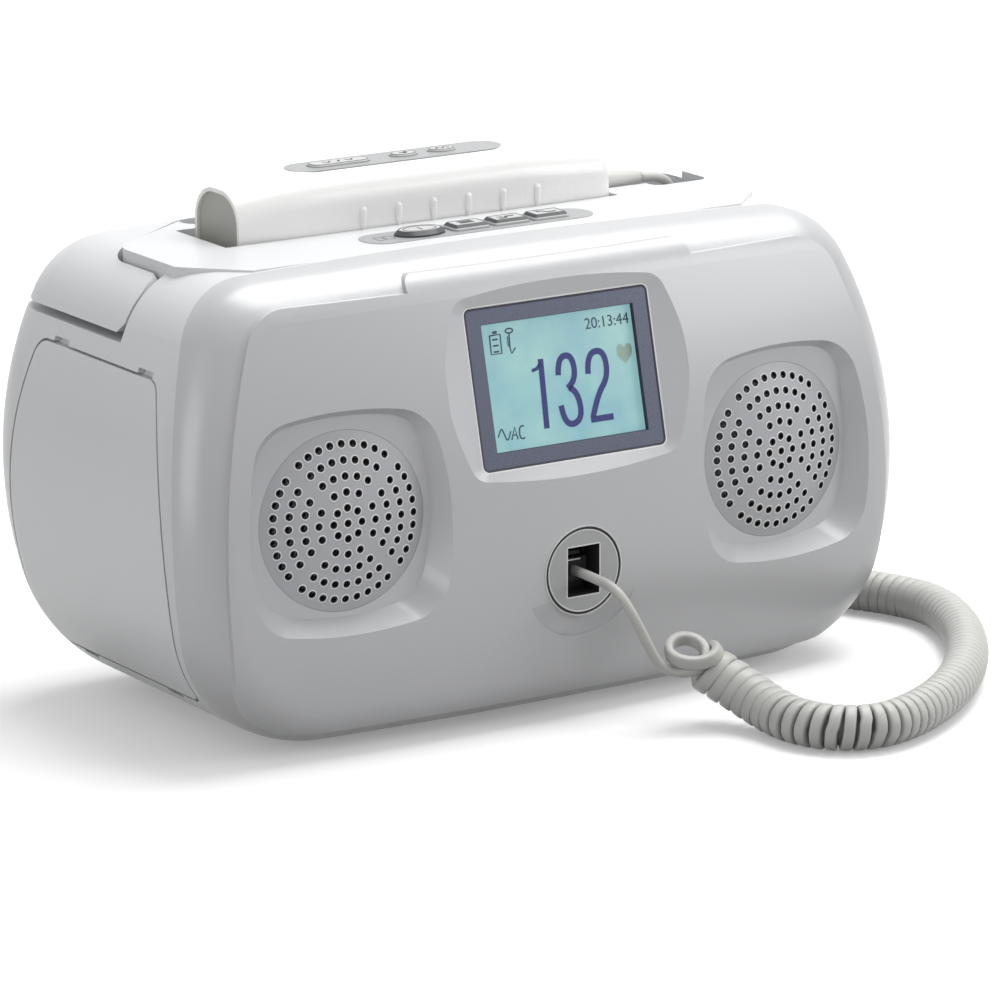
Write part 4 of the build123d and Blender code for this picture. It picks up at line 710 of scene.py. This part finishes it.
MARKS = (
    ("battery_case", 0.5, False, ((-24.4, 16.3), (-24.6, 10.4), (-20.7, 10.4), (-20.5, 16.3), (-24.4, 16.3))),
    ("battery_nub", 0.9, False, ((-23.2, 17.1), (-21.6, 17.1))),
    ("battery_bar", 0.55, False, ((-23.6, 14.9), (-21.6, 14.9))),
    ("battery_bar", 0.55, False, ((-23.6, 13.0), (-21.6, 13.0))),
    ("battery_bar", 0.55, False, ((-23.6, 11.1), (-21.6, 11.1))),
    ("probe_sign_grip", 0.5, False, ((-17.2, 16.2), (-17.5, 11.8), (-17.1, 9.9), (-15.5, 11.5))),
    ("probe_sign_edge", 0.35, False, ((-17.9, 15.4), (-18.0, 12.2))),
    ("wave", 0.45, True, ((-26.0, -15.2), (-24.6, -12.2), (-23.8, -14.0), (-22.6, -17.6), (-21.2, -13.8))),
    ("letter_a", 0.5, False, ((-21.2, -16.6), (-19.6, -12.8), (-18.9, -16.7))),
    ("letter_a_bar", 0.4, False, ((-20.5, -15.2), (-19.1, -15.3))),
    ("letter_c", 0.5, True, ((-16.2, -12.9), (-17.9, -12.2), (-18.2, -17.3), (-16.2, -16.5))),
)
HALF_HEART = ((0, 1.6), (1.2, 2.6), (3.0, 4.6), (2.6, 7.6), (0.9, 7.9), (0, 6.4))
HEART_X = 24.6
PROBE_SIGN_HEAD = (-17.1, 17.0)


def on_screen():
    """The placing of artwork on the liquid crystal, just behind the clear window's middle."""
    low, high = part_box("lcd_window")
    outward = Vector((0, -cos(radians(LCD_TILT)), sin(radians(LCD_TILT))))
    return facing((Vector(low) + Vector(high)) / 2 - outward * SCREEN_SINK * MM, LCD_TILT)


def screen_artwork(place):
    """A reading, a clock, a battery, a probe, a heart and a mains sign on the display."""
    navy = ink("reading_navy", INK, 0.4)
    dark = ink("marks_dark", (0.012, 0.05, 0.10), 0.4)
    faint = ink("heart_faint", (0.36, 0.52, 0.43), 0.4)
    for marks, finish in ((READING, navy), (MARKS, dark)):
        for name, line, smooth, route in marks:
            stroke(rounded(route) if smooth else route, line, place, "casing", finish, name)
    clock = lettering("20:13:44", 3.5, 11.0, 13.9, place, 0.98, "screen_clock")
    dress(clock, dark, "casing")
    head = place @ Matrix.Translation((*PROBE_SIGN_HEAD, 0))
    ring = ((0, ART_THICK), (0.5, ART_THICK), (0.5, 0), (0, 0))
    hoop(oval(2.2, 0.9, 20), ring, head, "casing", dark, "probe_sign_head")
    half = rounded(HALF_HEART)
    heart = [(x, y) for x, y in half] + [(-x, y) for x, y in reversed(half[1:-1])]
    patch(heart, place @ Matrix.Translation((HEART_X, 0, 0)), "casing", faint, "screen_heart")


def display_edges(place):
    """The dark gap round the bezel, a painted highlight on the edge outside it and painted shade on the wall
    round the window.
    """
    # one dark ink for the real gap round the bezel and for painted shade on the window's inner wall
    gap_and_painted_shade = ink("bezel_gap", (0.012, 0.014, 0.03), 0.5)
    # painted highlight: a light grey band on the edge outside the bezel, where light catches it
    painted_highlight = moulded("edge_painted_highlight", (0.86, 0.86, 0.86), 0.3)
    face = BEZEL_FACE
    gap = ((-0.6, face), (-0.5, face + 0.06), (0.1, face + 0.06), (0.1, face - 0.5), (-0.6, face - 0.3))
    edge = ((0.15, face - 0.1), (0.15, face + 0.1), (0.6, face + 0.16), (0.7, face - 0.1))
    wall = ((0.0, 0.7), (0.0, face - 0.1), (-0.35, face - 0.5), (-0.35, 0.7))
    bezel = pad(BEZEL_WIDTH, BEZEL_HEIGHT, BEZEL_CORNER)
    window = pad(SCREEN_WIDTH, SCREEN_HEIGHT, 0.2, 1)
    hoop(bezel, gap, place, "casing", gap_and_painted_shade, "bezel_gap")
    hoop(bezel, edge, place, "casing", painted_highlight, "bezel_edge_painted_highlight")
    hoop(window, wall, place, "casing", gap_and_painted_shade, "window_wall_painted_shade")


screen_artwork(on_screen())
display_edges(on_screen())


# ---------------------------------------------------------------- keys
KEY_CHAMFER = 1.1
KEY_FLANGE = 0.6
KEY_CORNER = 1.6
RIM_SKIN = 0.07
RIM_ON_TOP = 0.4
POWER_SKIRT = 1.65
KEY_SKIRT = 0.8
PROBE_KEY_CHAMFER = 0.4

# a sign's lines for each key: the route and its breadth
DECK_SIGNS = {
    "left": (((-2.6, 0), (2.6, 0)), 2.6),
    "middle": (((-3.4, -1.2), (-0.8, -1.2), (0.4, 0.6), (3.2, 0.6)), 1.3),
    "right": (((-3.2, 0.8), (-1.0, 0.8), (0.2, -1.0), (3.4, -1.0)), 1.3),
}
PROBE_SIGNS = {
    "near": (((-1.6, 0), (1.6, 0)), ((-0.2, -1.3), (1.2, 1.2))),
    "far": (((-2.4, -0.8), (-1.2, 0.9), (0, -0.8), (1.2, 0.9), (2.4, -0.8)),),
    "long": (
        ((-5.6, 0.8), (-4.2, -0.8), (-2.8, 0.8)),
        ((-0.6, -0.9), (0.8, 0.9)),
        ((2.8, 0.8), (4.2, -0.8), (5.6, 0.8)),
    ),
}


def key_top(node):
    """The place of a key's top, and the length and width of its stem inside the hidden flange."""
    low, high = [Vector(corner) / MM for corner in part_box(node)]
    size = high - low
    place = level(*mm((low.x + high.x) / 2, (low.y + high.y) / 2, high.z))
    return place, size.x - 2 * KEY_FLANGE, size.y - 2 * KEY_FLANGE


def key_rim(node, body, corner, skirt, finish):
    """A dark rim over a key's chamfer, from skirt below its top to a little way in on the top."""
    place, length, width = key_top(node)
    outline = pad(length, width, corner) if corner else oval(length, width)
    out = min(0, skirt - KEY_CHAMFER)
    foot = -min(skirt, KEY_CHAMFER)
    levels = (
        (out + RIM_SKIN, -skirt),
        (out + RIM_SKIN, foot),
        (0.05 - KEY_CHAMFER, RIM_SKIN),
        (-KEY_CHAMFER - RIM_ON_TOP, RIM_SKIN),
        (-KEY_CHAMFER - RIM_ON_TOP, 0.01),
        (-KEY_CHAMFER, 0.01),
        (out, foot),
        (out, -skirt),
    )
    hoop(outline, levels, place, body, finish, node + "_rim")


def power_key_art(rim, sign):
    """A ring and a bar on the oval key."""
    key_rim("power_key", "power_button", 0, POWER_SKIRT, rim)
    place, length, width = key_top("power_key")
    ring = oval(length - 6.4, width - 5.0)
    hoop(ring, ((0, 0.05), (0.5, 0.05), (0.5, 0), (0, 0)), place, "power_button", sign, "power_ring")
    stroke(((0, -1.6), (0, 1.6)), 0.8, place, "power_button", sign, "power_bar")


def deck_key_art():
    """Dark rims and plain signs on the four keys on the deck, and two small marks on their label."""
    rim = moulded("rim_grey", RIM_GREY, 0.35, coat=0.2)
    sign = ink("sign_dark", (0.03, 0.035, 0.04), 0.5)
    pale = ink("sign_pale", (0.10, 0.105, 0.11), 0.5)
    power_key_art(rim, pale)
    for side, (route, line) in DECK_SIGNS.items():
        node = "deck_key_" + side
        body = side + "_button"
        key_rim(node, body, KEY_CORNER, KEY_SKIRT, rim)
        place = key_top(node)[0]
        dash = [(x, y + 1.9) for x, y in route[:2]]
        stroke(route, line, place, body, sign, node + "_sign")
        stroke(dash, 0.6, place, body, sign, node + "_dash")
    low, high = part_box("deck_label")
    on_label = level((low[0] + high[0]) / 2, (low[1] + high[1]) / 2, high[2])
    frame_line = ((0, 0.04), (0.35, 0.04), (0.35, 0), (0, 0))
    for x in (-36.5, -33.0):
        mark = on_label @ Matrix.Translation((x, 0, 0))
        hoop(pad(2.4, 4.2, 0.4, 2), frame_line, mark, "casing", pale, "label_mark")


def probe_key_art():
    """Thin dark outlines and plain signs on the probe's three keys."""
    sign = ink("probe_sign", (0.012, 0.012, 0.014), 0.6)
    line = ink("probe_key_edge", (0.16, 0.165, 0.17), 0.45)
    edge = -PROBE_KEY_CHAMFER
    levels = ((edge - 0.2, 0.04), (edge, 0.04), (edge + 0.2, -0.15), (edge + 0.15, -0.2), (edge, 0))
    for name, routes in PROBE_SIGNS.items():
        node = "probe_key_" + name
        body = "probe_" + name + "_button"
        place, length, width = key_top(node)
        outline = pad(length, width, width / 2) if name == "long" else oval(length, width)
        hoop(outline, levels, place, body, line, node + "_rim")
        for route in routes:
            stroke(route, 0.8, place, body, sign, node + "_sign")


deck_key_art()
probe_key_art()


# ---------------------------------------------------------------- front jack
OPENING_WIDTH = 12.0
OPENING_HEIGHT = 15.9
LATCH_DEPTH = 5.8
LATCH_EDGE = ((-2.0, 2.2), (2.8, 2.2))

# each edge's section: how far it stands out from the outline, and how high from the plate's face
GROOVE_SECTION = ((0.12, -0.25), (0.85, -0.25), (0.85, -0.9), (0.12, -0.9))
PLATE_EDGE_SECTION = ((-0.32, 0.0), (-0.12, 0.08), (0.05, 0.0), (0.0, -0.3), (-0.32, -0.1))
PANEL_EDGE_SECTION = ((0.95, -0.3), (0.95, 0.15), (1.25, 0.15), (1.25, -0.3))
OPENING_EDGE_SECTION = ((0.0, -0.2), (0.0, 0.07), (0.4, 0.07), (0.4, 0.0))
OPENING_WALL_SECTION = ((0.0, -0.02), (-0.12, -0.15), (-0.12, -3.3), (0.0, -3.3))


def jack_edges():
    """The dark groove round the jack's plate, painted shade on the opening's walls, and painted highlights on
    the moulded edges of plate, opening, panel and latch.
    """
    low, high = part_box("jack_plate")
    middle = (Vector(low) + Vector(high)) / 2
    on_plate = facing(Vector((middle.x, low[1], middle.z)), 0)
    # painted highlight: light grey bands on the edges of plate, opening, panel and latch
    painted_highlight = moulded("jack_painted_highlight", (0.80, 0.80, 0.80), 0.3)
    # one near-black ink for the real groove round the plate and for painted shade on the opening's walls
    dark = ink("jack_groove", (0.006, 0.006, 0.007), 0.6)
    across = (high[0] - low[0]) / MM
    plate = oval(across, across, 72)
    opening = pad(OPENING_WIDTH, OPENING_HEIGHT, 0.15, 1)
    for outline, section, finish, name in (
        (plate, GROOVE_SECTION, dark, "jack_groove"),
        (plate, PLATE_EDGE_SECTION, painted_highlight, "plate_edge_painted_highlight"),
        (opening, OPENING_EDGE_SECTION, painted_highlight, "opening_edge_painted_highlight"),
        (opening, OPENING_WALL_SECTION, dark, "opening_wall_painted_shade"),
        (plate, PANEL_EDGE_SECTION, painted_highlight, "panel_edge_painted_highlight"),
    ):
        hoop(outline, section, on_plate, "casing", finish, name)
    on_latch = on_plate @ Matrix.Translation((0, 0, -LATCH_DEPTH))
    stroke(LATCH_EDGE, 0.45, on_latch, "casing", painted_highlight, "latch_painted_highlight")


jack_edges()


# ---------------------------------------------------------------- speaker grilles
SPEAKER_PLACE = (81.4, -59.54, 74.0)
SPEAKER_YAW = 4.4
SPEAKER_PITCH = 2.5
GRILLE_DIAMETER = 56.5
DOME_RADIUS = 96.0
HOLE = 2.0
RING_PITCH = 4.85
RINGS = 5
SPOKE = 6.4
LIP_SECTION = ((0.22, 0.0), (0.24, 0.1), (0.52, 0.1), (0.6, -0.02), (0.22, -0.05))
THROAT_SECTION = ((0.22, 0.05), (-0.1, 0.05), (-0.1, -1.3), (-0.05, -1.3), (-0.05, 0.0), (0.22, 0.0))


def hole_spots():
    """The grille's holes: one, a ring of eight, then rings in four groups with plain diagonals between."""
    spots = [Vector((0, 0))]
    spots += [Vector((cos(pi / 4 * n), sin(pi / 4 * n))) * RING_PITCH for n in range(8)]
    for ring in range(2, RINGS + 1):
        radius = RING_PITCH * ring
        half_span = pi / 4 - asin(SPOKE / 2 / radius)
        for quarter in range(4):
            for n in range(2 * ring - 1):
                angle = pi / 2 * quarter + half_span * (n / (ring - 1) - 1)
                spots.append(Vector((cos(angle), sin(angle))) * radius)
    return spots


def hole_places(side):
    """The placing of each hole on the dome of the left grille, where side is -1, or of the right one."""
    x, y, z = SPEAKER_PLACE
    turn = Matrix.Rotation(radians(side * SPEAKER_YAW), 4, "Z")
    middle = Matrix.Translation(mm(side * x, y, z)) @ turn @ facing(Vector((0, 0, 0)), SPEAKER_PITCH)
    drop = (DOME_RADIUS**2 - GRILLE_DIAMETER**2 / 4) ** 0.5
    places = []
    for spot in hole_spots():
        out = Vector((*spot, (DOME_RADIUS**2 - spot.length_squared) ** 0.5))
        lean = out.to_track_quat("Z", "Y").to_matrix().to_4x4()
        places.append(middle @ Matrix.Translation(out - Vector((0, 0, drop))) @ lean)
    return places


def hole_trim():
    """A pressed rim painted bright as a highlight and a throat painted dark as shade for each hole of the two
    domed grilles.
    """
    # painted highlight: near-white colour on each hole's pressed rim
    painted_highlight = moulded("hole_rim_painted_highlight", (0.90, 0.90, 0.90), 0.35)
    # painted shade: a near-black sleeve inside each hole
    dark = ink("hole_painted_shade", (0.004, 0.004, 0.004), 0.7)
    hole = oval(HOLE, HOLE, 16)
    for side, name in ((-1, "left"), (1, "right")):
        places = hole_places(side)
        hoop(hole, LIP_SECTION, places, "casing", painted_highlight, "hole_rims_" + name)
        hoop(hole, THROAT_SECTION, places, "casing", dark, "hole_throats_" + name)


hole_trim()


# ---------------------------------------------------------------- grip ribs
RIBS = 6
RIB_FIRST_X = -31.1
RIB_PITCH = 13.25
RIB_FRONT_Y = 7.0
RIB_LOW_Z = 147.9
RIB_TOP_Z = 154.6
RIB_RADIUS = 1.25


def grip_rib(n):
    """A round-topped rib on the probe's front: a ball drawn out downward and set into the side."""
    bpy.ops.object.select_all(action="DESELECT")
    bpy.ops.mesh.primitive_uv_sphere_add(segments=20, ring_count=12, radius=RIB_RADIUS)
    rib = bpy.context.object
    for vertex in rib.data.vertices:
        if vertex.co.z < -0.01:
            vertex.co.z -= RIB_TOP_Z - RIB_LOW_Z - 2 * RIB_RADIUS
        vertex.co.y *= 0.8
    bpy.ops.object.shade_smooth()
    place = Matrix.Translation(mm(RIB_FIRST_X + RIB_PITCH * n, RIB_FRONT_Y, RIB_TOP_Z - RIB_RADIUS))
    dress(settled(rib, "grip_rib", place @ Matrix.Scale(MM, 4)), finishes["probe_plastic"], "probe")


for number in range(RIBS):
    grip_rib(number)


# ---------------------------------------------------------------- floor, backdrop and light
FLOOR_HALF = 6.0
FLOOR_SEEN = (0.93, 0.93, 0.93)
FLOOR_GLOW = (0.22, 0.22, 0.22)
FLOOR_LIGHT = (0.28, 0.28, 0.28)
SKY_SEEN = (1, 1, 1)
SKY_LIGHT = (0.46, 0.46, 0.46)

# each softbox: name, place, aim, side and power
SOFTBOXES = (
    ("overhead", (0.45, 0.15, 1.25), (0, 0, 0.08), 1.1, 18),
    ("right_fill", (1.3, -1.2, 0.8), (0, 0, 0.08), 0.8, 8),
    ("left_fill", (-1.6, -0.3, 0.4), (0, 0, 0.05), 0.8, 4),
)


def background_rays(tree):
    """1 for the rays that show the background: from the camera, off gloss and through glass."""
    path = tree.nodes.new("ShaderNodeLightPath")
    total = path.outputs["Is Camera Ray"]
    for kind in ("Is Glossy Ray", "Is Transmission Ray"):
        either = tree.nodes.new("ShaderNodeMath")
        either.operation = "MAXIMUM"
        tree.links.new(total, either.inputs[0])
        tree.links.new(path.outputs[kind], either.inputs[1])
        total = either.outputs[0]
    return total


def paper():
    """White paper that shows the object's soft shadow and throws little light back up at its underside."""
    paint = Paint("paper")
    seen = background_rays(paint.tree)
    paint.set(base_color=paint.mix(seen, FLOOR_LIGHT, FLOOR_SEEN))
    paint.set(emission_color=paint.mix(seen, (0, 0, 0), FLOOR_GLOW), emission_strength=1.0)
    paint.set(roughness=0.9, specular_ior_level=0.05)
    return paint.material


def paper_floor():
    """The level sheet that the object stands on."""
    bpy.ops.object.select_all(action="DESELECT")
    bpy.ops.mesh.primitive_plane_add(size=2 * FLOOR_HALF)
    floor = bpy.context.object
    floor.name = "floor"
    floor.data.materials.append(paper())


def white_world():
    """A room that looks white and lights the object with a weaker grey."""
    world = bpy.data.worlds.new("studio")
    scene.world = world
    world.use_nodes = True
    tree = world.node_tree
    backdrop = tree.nodes.new("ShaderNodeMix")
    backdrop.data_type = "RGBA"
    backdrop.inputs[6].default_value = (*SKY_LIGHT, 1)
    backdrop.inputs[7].default_value = (*SKY_SEEN, 1)
    tree.links.new(background_rays(tree), backdrop.inputs["Factor"])
    tree.links.new(backdrop.outputs[2], tree.nodes["Background"].inputs["Color"])


def softbox(name, place, aim, side, power):
    """A square soft light at a place, turned to an aim."""
    lamp = bpy.data.lights.new(name, "AREA")
    lamp.size = side
    lamp.energy = power
    holder = bpy.data.objects.new(name, lamp)
    scene.collection.objects.link(holder)
    holder.location = place
    holder.rotation_mode = "QUATERNION"
    holder.rotation_quaternion = (Vector(aim) - Vector(place)).to_track_quat("-Z", "Y")


paper_floor()
white_world()
for settings in SOFTBOXES:
    softbox(*settings)
scene.view_settings.view_transform = "Standard"
